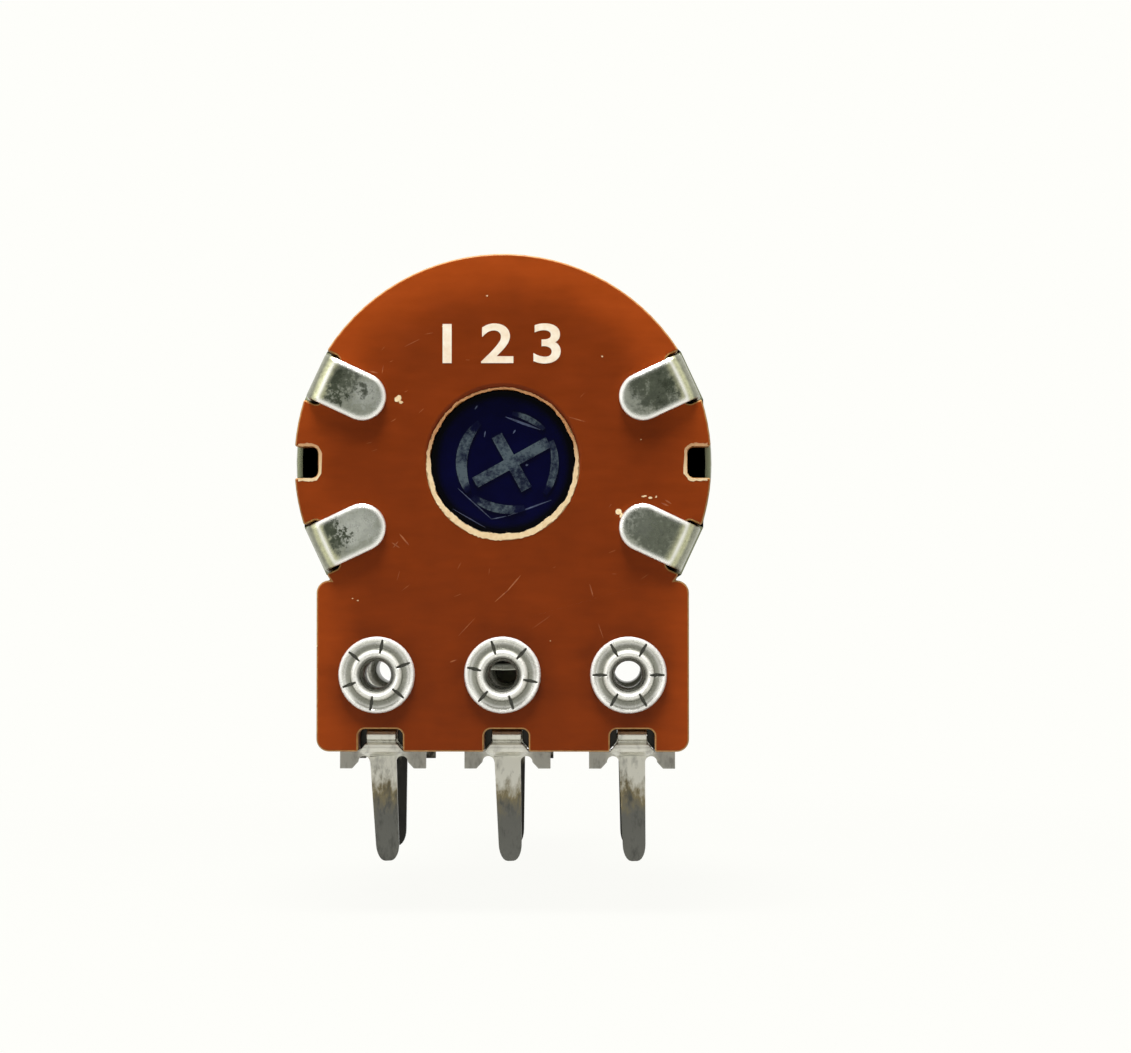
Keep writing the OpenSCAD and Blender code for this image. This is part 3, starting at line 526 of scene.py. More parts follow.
def tinned_terminal(name, tones, stain_start, stain_end):
    """tones: of the tin, of the flux at the stain's upper edge and of the stain below it.
    stain_start, stain_end: how far below the board the stain begins and is full, in mm."""
    material, tree, shader, place = new_material(name, {"Metallic": 0.7, "Roughness": 0.42})
    x, y, z = add(tree, "ShaderNodeSeparateXYZ", {}, {0: place}).outputs
    stretch = add(tree, "ShaderNodeMapping", {"Scale": (1.6, 1.6, 0.7)}, {"Vector": place})
    clouds = add(tree, "ShaderNodeTexNoise",
                 {"Scale": 1 / STAIN_CLOUD, "Detail": 5.0, "Roughness": 0.65},
                 {"Vector": stretch})
    wander = add(tree, "ShaderNodeMapRange", {"To Min": -1.4, "To Max": 1.4}, {"Value": clouds})
    depth = add(tree, "ShaderNodeMath", {"operation": "ADD"}, {0: z, 1: wander})
    stain = add(tree, "ShaderNodeMapRange",
                {"interpolation_type": "SMOOTHSTEP", "From Min": tail_low - stain_start,
                 "From Max": tail_low - stain_end}, {"Value": depth})
    colour = add(tree, "ShaderNodeValToRGB", {}, {0: stain})
    set_stops(colour.color_ramp, zip((0.05, 0.5, 0.95), tones))
    fleck = add(tree, "ShaderNodeMapRange",
                {"From Min": 0.32, "From Max": 0.5, "To Min": 0.62, "To Max": 1.0},
                {"Value": clouds})
    # The feet are painted a darker grey than the pins between them
    beside = add(tree, "ShaderNodeMath", {"operation": "ABSOLUTE"},
                 {0: from_row(tree, x, PIN_SHIFT)})
    foot = add(tree, "ShaderNodeMapRange",
               {"From Min": PIN_EDGE, "From Max": FOOT_EDGE, "To Min": 1.0, "To Max": 0.54},
               {"Value": beside})
    flecked_darker_feet = add(tree, "ShaderNodeMath", {"operation": "MULTIPLY"}, {0: fleck, 1: foot})
    mottled = add(tree, "ShaderNodeVectorMath", {"operation": "SCALE"},
                  {0: colour, "Scale": flecked_darker_feet})
    # Painted shade in the gap behind the board, on the skin that touches it
    skin = add(tree, "ShaderNodeMath",
               {"operation": "COMPARE", 1: board_front_y, 2: GAP_SHADE_SKIN}, {0: y})
    hidden = add(tree, "ShaderNodeMath", {"operation": "GREATER_THAN", 1: tail_low + 0.05},
                 {0: z})
    gap_shade = add(tree, "ShaderNodeMath", {"operation": "MULTIPLY"}, {0: skin, 1: hidden})
    with_gap_shade = add(tree, "ShaderNodeMix", {"data_type": "RGBA", 7: linear("#26251f")},
                 {0: gap_shade, 6: mottled})
    burnished_and_highlit = add(tree, "ShaderNodeMapRange",
                    {"From Min": tail_low - 0.5, "From Max": tail_low + 0.1,
                     "To Min": 0.42, "To Max": 0.2}, {"Value": z})
    # The die rounded every edge a little, which the Bevel node shows without any new faces
    soft_edge = add(tree, "ShaderNodeBevel", {"samples": 6, "Radius": DIE_ROUND * MM})
    bump = add(tree, "ShaderNodeBump", {"Strength": 0.3, "Distance": 0.02 * MM},
               {"Height": clouds, "Normal": soft_edge})
    join(tree, shader, {"Base Color": with_gap_shade.outputs[2], "Roughness": burnished_and_highlit, "Normal": bump})
    return material


terminal_finish = tinned_terminal("tinned_brass_strip", ("#d6d4c8", "#857a5c", "#686862"),
                                  0.7, 2.8)
# The front gang's terminals: painted shade, dark all over, for they stand in the shadow under the
# board
shaded_terminal_finish = tinned_terminal("shaded_brass_strip", ("#8f8d80", "#4a463a", "#2c2b27"),
                                       0.2, 1.1)
print("made", terminal_finish.name, "and", shaded_terminal_finish.name)

# %% [markdown]
# ## Bright eyelets
# The eyelets are rolled from thin brass and bright tinned, and the flaring tool has burnished
# them. They are the shiniest thing on the back. Their rings are painted into the colour: rim and
# lip white, a painted highlight where they catch the white studio, and the groove between them
# grey and the bore dark, both painted shade. The distance from an eyelet's middle tells which ring
# a point is in, so one colour ramp holds all the rings. The six creases that the tool split into
# each flare lie deeper than the groove, and depth tells them apart; they are painted dark, as
# painted shade in the creases.

# %% Bright eyelets
ROLL_GRAIN = 0.3
CREASE_DEPTH = 0.15
CREASE_REACH = 0.07
RIM_START = 0.955


def tinned_eyelet():
    material, tree, shader, place = new_material(
        "bright_tinned_brass", {"Metallic": 0.38, "Roughness": 0.24})
    grain = add(tree, "ShaderNodeTexNoise",
                {"Scale": 1 / ROLL_GRAIN, "Detail": 4.0, "Roughness": 0.6}, {"Vector": place})
    x, y, z = add(tree, "ShaderNodeSeparateXYZ", {}, {0: place}).outputs
    height = add(tree, "ShaderNodeMath", {"operation": "SUBTRACT", 1: eyelet_z}, {0: z})
    from_middle = add(tree, "ShaderNodeCombineXYZ", {}, {0: from_row(tree, x), 2: height})
    radius = add(tree, "ShaderNodeVectorMath", {"operation": "LENGTH"}, {0: from_middle})
    share = add(tree, "ShaderNodeMath", {"operation": "DIVIDE", 1: eyelet_half},
                {0: radius.outputs["Value"]})
    rings = add(tree, "ShaderNodeValToRGB", {}, {0: share})
    # Painted highlight on rim and lip, painted shade in the groove and the bore
    set_stops(rings.color_ramp, [(0.0, "#55554c"), (0.34, "#5f5f55"), (0.44, "#a9a89c"),
                                 (0.5, "#f4f3ec"), (0.63, "#f2f1e9"), (0.68, "#8b8b7f"),
                                 (0.78, "#9d9d91"), (0.87, "#f8f7f1"), (1.0, "#fbfaf5")])
    speckle = add(tree, "ShaderNodeMapRange",
                  {"From Min": 0.3, "From Max": 0.56, "To Min": 0.88, "To Max": 1.0},
                  {"Value": grain})
    tin = add(tree, "ShaderNodeVectorMath", {"operation": "SCALE"}, {0: rings, "Scale": speckle})
    # Painted shade in the creases, which lie deeper than the groove
    depth = add(tree, "ShaderNodeMath", {"operation": "SUBTRACT", 0: rear_face_y}, {1: y})
    deep = add(tree, "ShaderNodeMath",
               {"operation": "COMPARE", 1: CREASE_DEPTH * flare_height,
                2: CREASE_REACH * flare_height}, {0: depth})
    inside = add(tree, "ShaderNodeMath", {"operation": "LESS_THAN", 1: RIM_START}, {0: share})
    crease_shade = add(tree, "ShaderNodeMath", {"operation": "MULTIPLY"}, {0: deep, 1: inside})
    colour = add(tree, "ShaderNodeMix", {"data_type": "RGBA", 7: linear("#4d4d44")},
                 {0: crease_shade, 6: tin})
    rough = add(tree, "ShaderNodeMapRange",
                {"From Min": 0.3, "From Max": 0.7, "To Min": 0.34, "To Max": 0.18},
                {"Value": grain})
    bump = add(tree, "ShaderNodeBump", {"Strength": 0.12, "Distance": 0.015 * MM},
               {"Height": grain})
    join(tree, shader, {"Base Color": colour.outputs[2], "Roughness": rough, "Normal": bump})
    return material


eyelet_finish = tinned_eyelet()
print("made", eyelet_finish.name)

# %% [markdown]
# ## Moulded rotor
# The rotors are injection moulded in a blue-black plastic, with the gloss of the polished mould.
# The cross and the broken ring stand a few hundredths of a millimetre proud, so they have been
# rubbed grey. The finish tells them apart by depth: whatever lies behind the plain face is worn.
# The broken ring's arcs stand lower towards their ends and were rubbed less there. Towards its rim
# the face falls away a little, and it is painted black there: a painted shadow from the wall of the
# board's hole.

# %% Moulded rotor
MARK_STEP = 0.03
ARC_ENDS = [
    (-0.95, 1.5, 0.5, 1.0), (-1.3, -1.2, 0.5, 1.0), (-1.2, -1.42, 0.4, 0.9),
    (0.82, -1.78, 0.6, 1.0), (1.99, 0.75, 0.4, 0.7), (1.7, -1.28, 0.55, 1.0),
    (0.38, 1.95, 0.45, 1.0), (1.62, 1.3, 0.45, 0.9)
]
WEAR_GRAIN = 0.14
RIM_SHADOW_FROM = 2.4
RIM_SHADOW_FULL = 2.75


def moulded_rotor():
    material, tree, shader, place = new_material(
        "gloss_moulded_plastic", {"IOR": 1.5, "Roughness": 0.14, "Specular IOR Level": 0.09})
    y = add(tree, "ShaderNodeSeparateXYZ", {}, {0: place}).outputs["Y"]
    raised = add(tree, "ShaderNodeMath", {"operation": "LESS_THAN", 1: marks_y + MARK_STEP},
                 {0: y})
    grain = add(tree, "ShaderNodeTexNoise",
                {"Scale": 1 / WEAR_GRAIN, "Detail": 4.0, "Roughness": 0.7}, {"Vector": place})
    cloud = add(tree, "ShaderNodeTexNoise", {"Scale": 1.2, "Detail": 2.0}, {"Vector": place})
    patchy = add(tree, "ShaderNodeMath", {"operation": "ADD"}, {0: grain, 1: cloud})
    rubbed = add(tree, "ShaderNodeMapRange",
                 {"From Min": 0.82, "From Max": 1.12, "To Min": 0.3, "To Max": 1.0},
                 {"Value": patchy})
    ragged = add(tree, "ShaderNodeMapRange", {"To Min": -0.12, "To Max": 0.12},
                 {"Value": grain})
    spared = add(tree, "ShaderNodeMapRange", {"To Min": 1.0, "To Max": 0.06},
                 {"Value": patches(tree, place, ARC_ENDS, ragged)})
    exposed = add(tree, "ShaderNodeMath", {"operation": "MULTIPLY"}, {0: raised, 1: spared})
    worn = add(tree, "ShaderNodeMath", {"operation": "MULTIPLY"}, {0: exposed, 1: rubbed})
    blue = add(tree, "ShaderNodeMix",
               {"data_type": "RGBA", 6: linear("#00001a"), 7: linear("#030430")}, {0: cloud})
    # Painted shadow: the face goes black towards its rim, shaded by the wall of the board's hole
    rim_shadow = add(tree, "ShaderNodeMapRange",
              {"interpolation_type": "SMOOTHSTEP", "From Min": RIM_SHADOW_FROM,
               "From Max": RIM_SHADOW_FULL}, {"Value": distance_to(tree, place, 0, 0)})
    deep = add(tree, "ShaderNodeMix", {"data_type": "RGBA", 7: linear("#010104")},
               {0: rim_shadow, 6: blue.outputs[2]})
    rubbed_tone = add(tree, "ShaderNodeMix",
                      {"data_type": "RGBA", 6: linear("#1f2837"), 7: linear("#4c585f")},
                      {0: rubbed})
    colour = add(tree, "ShaderNodeMix", {"data_type": "RGBA"},
                 {0: worn, 6: deep.outputs[2], 7: rubbed_tone.outputs[2]})
    rough = add(tree, "ShaderNodeMapRange", {"To Min": 0.12, "To Max": 0.6}, {"Value": worn})
    bump = add(tree, "ShaderNodeBump", {"Strength": 0.15, "Distance": 0.01 * MM},
               {"Height": grain})
    join(tree, shader, {"Base Color": colour.outputs[2], "Roughness": rough, "Normal": bump})
    return material


rotor_finish = moulded_rotor()
print("made", rotor_finish.name)

# %% [markdown]
# ## Inks, springs and turned metal
# The pieces inside and in front share one recipe: a base colour that wanders between two tones,
# and a fine relief whose direction tells how the surface was made. Printed ink is grainy all
# over, and rolled sheet has long streaks. So one function takes the two tones, the size of the
# grain and how far it is stretched. A turned piece has fine rings instead. Noise that is read at
# the radius and the height alone gives them: rings round the sides, circles on the ends.

# %% Inks, springs and turned metal


def two_toned(tree, shader, pattern, tones, relief, strength):
    """The pattern mixes the two tones and stands up by the relief, in mm."""
    colour = add(tree, "ShaderNodeMix",
                 {"data_type": "RGBA", 6: linear(tones[0]), 7: linear(tones[1])},
                 {0: add(tree, "ShaderNodeMapRange", {"From Min": 0.3, "From Max": 0.7},
                         {"Value": pattern})})
    bump = add(tree, "ShaderNodeBump", {"Strength": strength, "Distance": relief * MM},
               {"Height": pattern})
    join(tree, shader, {"Base Color": colour.outputs[2], "Normal": bump})


def grained(name, tones, surface, grain, relief, stretch=(1, 1, 1)):
    """grain: size in mm; stretch: how many times finer the grain is along x, y and z."""
    material, tree, shader, place = new_material(name, surface)
    run = add(tree, "ShaderNodeMapping", {"Scale": stretch}, {"Vector": place})
    pattern = add(tree, "ShaderNodeTexNoise",
                  {"Scale": 1 / grain, "Detail": 4.0, "Roughness": 0.6}, {"Vector": run})
    two_toned(tree, shader, pattern, tones, relief, 0.4)
    return material


def turned_metal(name, tones, surface, ring, relief):
    """ring: spacing of the tool's marks in mm."""
    material, tree, shader, place = new_material(name, surface)
    y = add(tree, "ShaderNodeSeparateXYZ", {}, {0: place}).outputs["Y"]
    path = add(tree, "ShaderNodeCombineXYZ", {}, {0: distance_to(tree, place, 0, 0), 1: y})
    marks = add(tree, "ShaderNodeTexNoise", {"Scale": 1 / ring, "Detail": 2.0},
                {"Vector": path})
    two_toned(tree, shader, marks, tones, relief, 0.35)
    return material


# Screen-printed carbon is matt and granular, near black
carbon_finish = grained("screen_printed_carbon", ("#17181a", "#2b2c2f"), {"Roughness": 0.62},
                        0.12, 0.01)
# Silver ink dries to a pale, satin film
silver_finish = grained("screen_printed_silver", ("#a9a8a1", "#d5d3cb"),
                        {"Metallic": 0.8, "Roughness": 0.48}, 0.1, 0.008)
# Bronze strip keeps the long streaks of the rolling mill
bronze_finish = grained("rolled_spring_bronze", ("#a97c3c", "#d3aa62"),
                        {"Metallic": 1.0, "Roughness": 0.3}, 0.5, 0.004, (6, 6, 1))
# Turned aluminium shows fine rings round the shaft; real ones are finer than could be seen here
shaft_finish = turned_metal("turned_aluminium", ("#b4b5b6", "#dadbdb"),
                            {"Metallic": 1.0, "Roughness": 0.3}, 0.14, 0.008)
# Die-cast zinc under thin nickel: softer, greyer, slightly yellow
bush_finish = grained("plated_zinc_casting", ("#a8a79d", "#cbc9bd"),
                      {"Metallic": 0.95, "Roughness": 0.34}, 0.45, 0.01, (1, 1.5, 1))
# Hardened spring steel is blued and oily
clip_finish = grained("blued_spring_steel", ("#3b4048", "#6a6f76"),
                      {"Metallic": 1.0, "Roughness": 0.36}, 0.4, 0.005, (3, 1, 3))
print("made the inner finishes")

# %% [markdown]
# ## Finishes on the solids
# Each solid keeps its shape and only gets its finish. Real edges are never perfectly sharp: the
# punch rolls them and plating rounds them, and that thin round is what catches the light. So each
# solid is welded, the triangles of each flat face are joined into one face, smooth and sharp edges
# are told apart by their angle, and a narrow bevel is laid on the sharp ones. Without the joining,
# the bevel would leave dark slivers at the ends of long thin triangles. The modifiers leave the
# solid's own mesh as it is.

# %% Finishes on the solids
SHARP_ANGLE = math.radians(32)
PLANE_ANGLE = math.radians(0.3)
WELD_REACH = 0.002


def smooth_by_angle():
    tree = bpy.data.node_groups.new("smooth_by_angle", "GeometryNodeTree")
    tree.interface.new_socket("Geometry", in_out="INPUT", socket_type="NodeSocketGeometry")
    tree.interface.new_socket("Geometry", in_out="OUTPUT", socket_type="NodeSocketGeometry")
    start = add(tree, "NodeGroupInput")
    angle = add(tree, "GeometryNodeInputMeshEdgeAngle")
    sharp = add(tree, "FunctionNodeCompare", {"operation": "GREATER_THAN", 1: SHARP_ANGLE},
                {0: angle})
    normals = add(tree, "GeometryNodeSetMeshNormal", {"mode": "SHARPNESS"},
                  {"Mesh": start, "Edge Sharpness": sharp})
    add(tree, "NodeGroupOutput", {}, {0: normals})
    return tree


smoothing = smooth_by_angle()


def dress(node, finish, edge):
    """Gives a solid its finish and a bevel of the given width in mm."""
    solid = nodes[node]
    solid.data.materials.clear()
    solid.data.materials.append(finish)
    weld = solid.modifiers.new("weld", "WELD")
    weld.merge_threshold = WELD_REACH * MM
    planes = solid.modifiers.new("planes", "DECIMATE")
    planes.decimate_type = "DISSOLVE"
    planes.angle_limit = PLANE_ANGLE
    solid.modifiers.new("smooth", "NODES").node_group = smoothing
    if edge > 0:
        bevel = solid.modifiers.new("edge", "BEVEL")
        bevel.width = edge * MM
        bevel.segments = 3
        bevel.limit_method = "ANGLE"
        bevel.angle_limit = SHARP_ANGLE
        bevel.use_clamp_overlap = False
        bevel.harden_normals = True


for gang in ("front", "rear"):
    dress(gang + "_wafer", board_finish, 0.09)
    dress(gang + "_track", carbon_finish, 0)
    dress(gang + "_collector", silver_finish, 0)
    dress(gang + "_rotor", rotor_finish, 0)
    dress(gang + "_wiper", bronze_finish, 0.015)
    dress(gang + "_eyelets", eyelet_finish, 0.015)
for side in ("left", "centre", "right"):
    dress("rear_terminal_" + side, terminal_finish, 0.01)
    dress("front_terminal_" + side, shaded_terminal_finish, 0.01)
dress("front_cover", steel_finish, 0.1)
dress("rear_can", steel_finish, 0.1)
dress("shaft", shaft_finish, 0.06)
dress("retaining_clip", clip_finish, 0.03)
print("dressed", len(nodes) - 1, "solids")

# %% [markdown]
# ## Threaded bush
# The bush carries an M7 thread with a pitch of 0.75 mm for the panel nut. A thread is a groove
# that climbs as it goes round, so the bush is drawn as one grid: a profile along the shaft, swept
# round it, where the radius at each point also depends on the angle. The grid closes on itself
# through the bore, so the piece is as solid as the one that it stands for. Crests and roots are
# rounded a little, as a rolled thread's are, so that no hard line jumps from row to row.

# %% Threaded bush
THREAD_RADIUS = 3.5
THREAD_PITCH = 0.75
THREAD_DEPTH = 0.36
# How steeply the groove's sides fall, and how much of the crest is flat
FLANK_SLOPE = 1.35
CREST_FLAT = 0.12
# Plain length at the panel's face, length over which the thread fades, and depth left at its end
RUN_IN = 0.1
RUN_OUT = 0.5
END_DEPTH = 0.3
END_CHAMFER = 0.4
BORE_RADIUS = 3.04
BORE_CHAMFER = 0.1
BORE_CHAMFER_LENGTH = 0.25
NECK_RADIUS = 3.8
COVER_SHEET = 0.35
# Points of the grid: along one pitch, and round the bush
ROWS = 14
COLUMNS = 108

bush_low, bush_high = (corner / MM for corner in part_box("bush"))
flange_radius = bush_high.x
flange_back = bush_low.y
bush_front = bush_high.y


def thread_radius_at(y, angle):
    """The thread's radius, shallower near both ends."""
    turn = (y / THREAD_PITCH - angle / (2 * math.pi)) % 1.0
    flank = min(1.0, max(0.0, FLANK_SLOPE * (1 - abs(2 * turn - 1)) - CREST_FLAT))
    groove = flank * flank * (3 - 2 * flank)
    fade = min(1.0, (y - RUN_IN) / RUN_OUT, (bush_front - y) / RUN_OUT + END_DEPTH)
    return THREAD_RADIUS - THREAD_DEPTH * groove * max(0.0, fade)


def bush_profile(angle):
    """Points (y, radius) from the bore's front edge over the outside and back."""
    end_radius = THREAD_RADIUS - END_CHAMFER
    points = [(bush_front - BORE_CHAMFER_LENGTH, BORE_RADIUS),
              (bush_front, BORE_RADIUS + BORE_CHAMFER), (bush_front, end_radius)]
    step = THREAD_PITCH / ROWS
    for i in range(int((bush_front - 2 * RUN_IN) / step), 0, -1):
        y = RUN_IN + i * step
        points.append((y, min(thread_radius_at(y, angle), end_radius + bush_front - y)))
    points += [(0.0, THREAD_RADIUS), (0.0, NECK_RADIUS), (-COVER_SHEET, NECK_RADIUS),
               (-COVER_SHEET, flange_radius), (flange_back, flange_radius),
               (flange_back, BORE_RADIUS)]
    return points


def bridge(mesh, ring, following):
    """Joins two closed rings of as many points by a band of faces."""
    for i in range(len(ring)):
        j = (i + 1) % len(ring)
        mesh.faces.new((ring[i], ring[j], following[j], following[i]))


def closed_mesh(name, mesh):
    """Turns the faces outwards and hands the mesh to Blender."""
    bmesh.ops.recalc_face_normals(mesh, faces=mesh.faces)
    data = bpy.data.meshes.new(name)
    mesh.to_mesh(data)
    mesh.free()
    return data


def new_piece(name, data, finish):
    """Stands a mesh in the scene as a piece of its own, in its finish."""
    piece = bpy.data.objects.new(name, data)
    bpy.context.scene.collection.objects.link(piece)
    data.materials.clear()
    data.materials.append(finish)
    return piece


def threaded_bush():
    mesh = bmesh.new()
    rings = []
    for k in range(COLUMNS):
        angle = 2 * math.pi * k / COLUMNS
        rings.append([mesh.verts.new(metres(r * math.cos(angle), y, r * math.sin(angle)))
                      for y, r in bush_profile(angle)])
    for ring, following in zip(rings, rings[1:] + rings[:1]):
        bridge(mesh, ring, following)
    piece = new_piece("threaded_bush", closed_mesh("threaded_bush", mesh), bush_finish)
    piece.modifiers.new("smooth", "NODES").node_group = smoothing
    return piece


bush = threaded_bush()
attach(bush, "housing")
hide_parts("bush")
print("bush faces:", len(bush.data.polygons))

# %% [markdown]
# ## Thin shapes on a face
# Print, chips and scratches are all thin shapes that lie on a flat face. Each is an outline in x
# and z, given about a hundredth of a millimetre of thickness, so that it has an edge of its own
# and there is no doubt which face is in front. One function turns a list of outlines into a
# piece; the outlines come from small functions for a chip and for a scratch. Their sides are
# uneven by chance, but the chance starts from a fixed number, so every run gives the same ones.

# %% Thin shapes on a face
# How far a chip's corners and a scratch's sides leave their even shape, and how blunt it ends
CHIP_CORNER = (0.72, 1.15)
SCRATCH_SIDE = (0.7, 1.0)
SCRATCH_END = 0.25

chance = random.Random(7)


def chip(x, z, size, squash=0.7, turn=0.0, corners=11):
    """A broken-out fleck: a ragged round, in mm."""
    outline = []
    for k in range(corners):
        angle = 2 * math.pi * k / corners
        reach = size / 2 * chance.uniform(*CHIP_CORNER)
        u = reach * math.cos(angle)
        v = squash * reach * math.sin(angle)
        outline.append((x + u * math.cos(turn) - v * math.sin(turn),
                        z + u * math.sin(turn) + v * math.cos(turn)))
    return outline


def scratch(start, end, width, steps=6):
    """A tapering scratch from start to end, its sides a little uneven."""
    run = Vector(end) - Vector(start)
    across = Vector((-run.y, run.x)).normalized()
    left_side = []
    right_side = []
    for k in range(steps + 1):
        share = k / steps
        swell = SCRATCH_END + math.sin(math.pi * share)
        half = width / 2 * swell * chance.uniform(*SCRATCH_SIDE)
        middle = Vector(start) + run * share
        left_side.append(tuple(middle + across * half))
        right_side.append(tuple(middle - across * half))
    return left_side + right_side[::-1]


def thin_piece(name, outlines, face_y, thickness, finish, body):
    """Outlines in mm, as one piece that stands proud of the face at face_y."""
    mesh = bmesh.new()
    for outline in outlines:
        near, far = ([mesh.verts.new(metres(x, y, z)) for x, z in outline]
                     for y in (face_y - thickness, face_y + thickness))
        mesh.faces.new(near)
        mesh.faces.new(far[::-1])
        bridge(mesh, near, far)
    piece = new_piece(name, closed_mesh(name, mesh), finish)
    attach(piece, body)
    return piece


print("thin shapes: chip, scratch")

# %% [markdown]
# ## Ragged rim of the rotor's hole
# The punch that cut this hole was blunt. It left a crumbled rim, thin at the top and wide at the
# bottom, whose sides wander. It is drawn as a strip of short segments that lie on the board, each
# with its own width. Its finish is painted light: cream at the bottom, where the rim faces the
# light from above, turning to tan upwards.

# %% Ragged rim of the rotor's hole
RIM_STEPS = 240
RIM_IN = 2.89
RIM_OUT = 2.97
RIM_SWELL = 0.14
RIM_DROP = 0.03
RIM_LEAST = 0.02
# How far both sides of the rim wander together, and how far each is frayed
BROAD_WAVE = 0.02
FINE_WAVE = 0.014
INNER_FRAY = 0.018
OUTER_FRAY = 0.03
CRUMB = 0.2
TAN_FROM = -0.2
TAN_ABOVE = 1.8


def torn_rim():
    """Painted highlight: cream at the bottom, where the rim faces the light from above, and tan at
    the top.
    """
    material, tree, shader, place = new_material("torn_laminate_rim", {"Roughness": 0.85})
    grain = add(tree, "ShaderNodeTexNoise", {"Scale": 1 / CRUMB, "Detail": 4.0},
                {"Vector": place})
    lit_cream = add(tree, "ShaderNodeMix",
                {"data_type": "RGBA", 6: linear("#d9b079"), 7: linear("#f7e6bf")}, {0: grain})
    tan = add(tree, "ShaderNodeMix",
              {"data_type": "RGBA", 6: linear("#7d4119"), 7: linear("#d19c66")}, {0: grain})
    z = add(tree, "ShaderNodeSeparateXYZ", {}, {0: place}).outputs["Z"]
    wandering = add(tree, "ShaderNodeMath", {"operation": "ADD"}, {0: z, 1: grain})
    # Painted highlight: cream low on the rim, turning to tan upwards
    height = add(tree, "ShaderNodeMapRange",
                 {"interpolation_type": "SMOOTHSTEP", "From Min": TAN_FROM,
                  "From Max": TAN_ABOVE}, {"Value": wandering})
    colour = add(tree, "ShaderNodeMix", {"data_type": "RGBA"},
                 {0: height, 6: lit_cream.outputs[2], 7: tan.outputs[2]})
    bump = add(tree, "ShaderNodeBump", {"Strength": 0.4, "Distance": 0.015 * MM},
               {"Height": grain})
    join(tree, shader, {"Base Color": colour.outputs[2], "Normal": bump})
    return material


def hole_point(angle):
    """A place, a direction, and where the rim begins and ends; it swells towards the bottom."""
    low = 0.5 - 0.5 * math.sin(angle)
    wander = BROAD_WAVE * math.sin(9 * angle) + FINE_WAVE * math.sin(23 * angle + 1)
    inner = RIM_IN - RIM_DROP * low + wander + chance.uniform(-INNER_FRAY, INNER_FRAY)
    outer = RIM_OUT + RIM_SWELL * low ** 1.5 + 0.6 * wander
    outer += chance.uniform(-OUTER_FRAY, OUTER_FRAY)
    return (0, 0), (math.cos(angle), math.sin(angle)), inner, max(outer, inner + RIM_LEAST)


def strip(path):
    """path: for each point a place, a direction, and where the strip begins and ends along it."""
    sides = [((x + u * near, z + v * near), (x + u * far, z + v * far))
             for (x, z), (u, v), near, far in path]
    return [[a[0], a[1], b[1], b[0]] for a, b in zip(sides, sides[1:])]


rim_finish = torn_rim()
hole_path = [hole_point(2 * math.pi * k / RIM_STEPS) for k in range(RIM_STEPS)]
hole_segments = strip(hole_path + hole_path[:1])
thin_piece("hole_rim", hole_segments, rear_face_y, 0.012, rim_finish, "housing")
print("segments of the hole's rim:", len(hole_segments))

# %% [markdown]
# ## Rims of the side notches
# The notches at both sides were cut by the same blunt punch and have a pale rim of their own. Its
# path is drawn once: in along the upper side, round two corners, and out along the lower side.
# The left notch is the mirror image of the right one.

# %% Rims of the side notches
NOTCH_X = board_half - 0.95
NOTCH_END = board_half - 0.14
NOTCH_HALF = 0.625
NOTCH_ROUND = 0.28
NOTCH_RIM = 0.13
NOTCH_FRAY = 0.03
NOTCH_STEPS = 6


def notch_path(side):
    """Round the notch from its upper to its lower end; side is -1 on the left, 1 on the right."""
    corner_x = NOTCH_X + NOTCH_ROUND
    corner_z = NOTCH_HALF - NOTCH_ROUND
    shares = [k / NOTCH_STEPS for k in range(NOTCH_STEPS + 1)]
    path = [((NOTCH_END + (corner_x - NOTCH_END) * share, NOTCH_HALF), 90) for share in shares]
    for centre_z, start in ((corner_z, 90), (-corner_z, 180)):
        for share in shares:
            angle = math.radians(start + 90 * share)
            path.append(((corner_x + NOTCH_ROUND * math.cos(angle),
                          centre_z + NOTCH_ROUND * math.sin(angle)), start + 90 * share))
    path += [((corner_x + (NOTCH_END - corner_x) * share, -NOTCH_HALF), 270) for share in shares]
    return [((side * x, z), (side * math.cos(math.radians(angle)), math.sin(math.radians(angle))),
             chance.uniform(0.0, NOTCH_FRAY), NOTCH_RIM + chance.uniform(-NOTCH_FRAY, NOTCH_FRAY))
            for (x, z), angle in path]


notch_segments = strip(notch_path(-1)) + strip(notch_path(1))
thin_piece("notch_rims", notch_segments, rear_face_y, 0.01, rim_finish, "housing")
print("segments of the notches' rims:", len(notch_segments))

# %% [markdown]
# ## Chips in the board
# Handling has knocked small pale flecks out of the resin. Each is placed one by one, in millimetres
# from the shaft's axis, because wear has no pattern. What shows in a chip is crumbled laminate:
# paper dust, matt and cream, with brown grains.

# %% Chips in the board
crumb_finish = grained("crumbled_laminate", ("#ddb983", "#f5e3bb"), {"Roughness": 0.85},
                       0.22, 0.008)
chips = [
    chip(-4.16, 2.52, 0.34, 0.75, 0.5), chip(-4.05, 2.38, 0.18, 0.8, 0.0),
    chip(4.62, -1.98, 0.3, 0.8, 0.4), chip(4.72, -2.12, 0.22, 0.6, 1.2),
    chip(5.62, -1.36, 0.2, 0.4, 0.1), chip(5.86, -1.42, 0.17, 0.5, 0.0),
    chip(6.1, -1.38, 0.1, 0.6, 0.9), chip(-0.62, 6.62, 0.09), chip(3.96, 4.2, 0.08),
    chip(-5.75, -5.5, 0.08), chip(-5.96, -5.42, 0.06), chip(-7.38, -7.3, 0.1, 0.5, 1.5),
    chip(5.5, 0.9, 0.05), chip(-2.4, 5.4, 0.05), chip(1.9, -7.1, 0.05)
]
thin_piece("board_chips", chips, rear_face_y, 0.008, crumb_finish, "housing")
print("chips:", len(chips))

# %% [markdown]
# ## Dried flux
# Flux has dried across the bore of the middle eyelet of the front board and shuts it, so nothing
# shines through that eyelet from the front. It is a thin round film, brown-green and half glossy.

# %% Dried flux
FLUX_REACH = 0.6
FLUX_CORNERS = 24

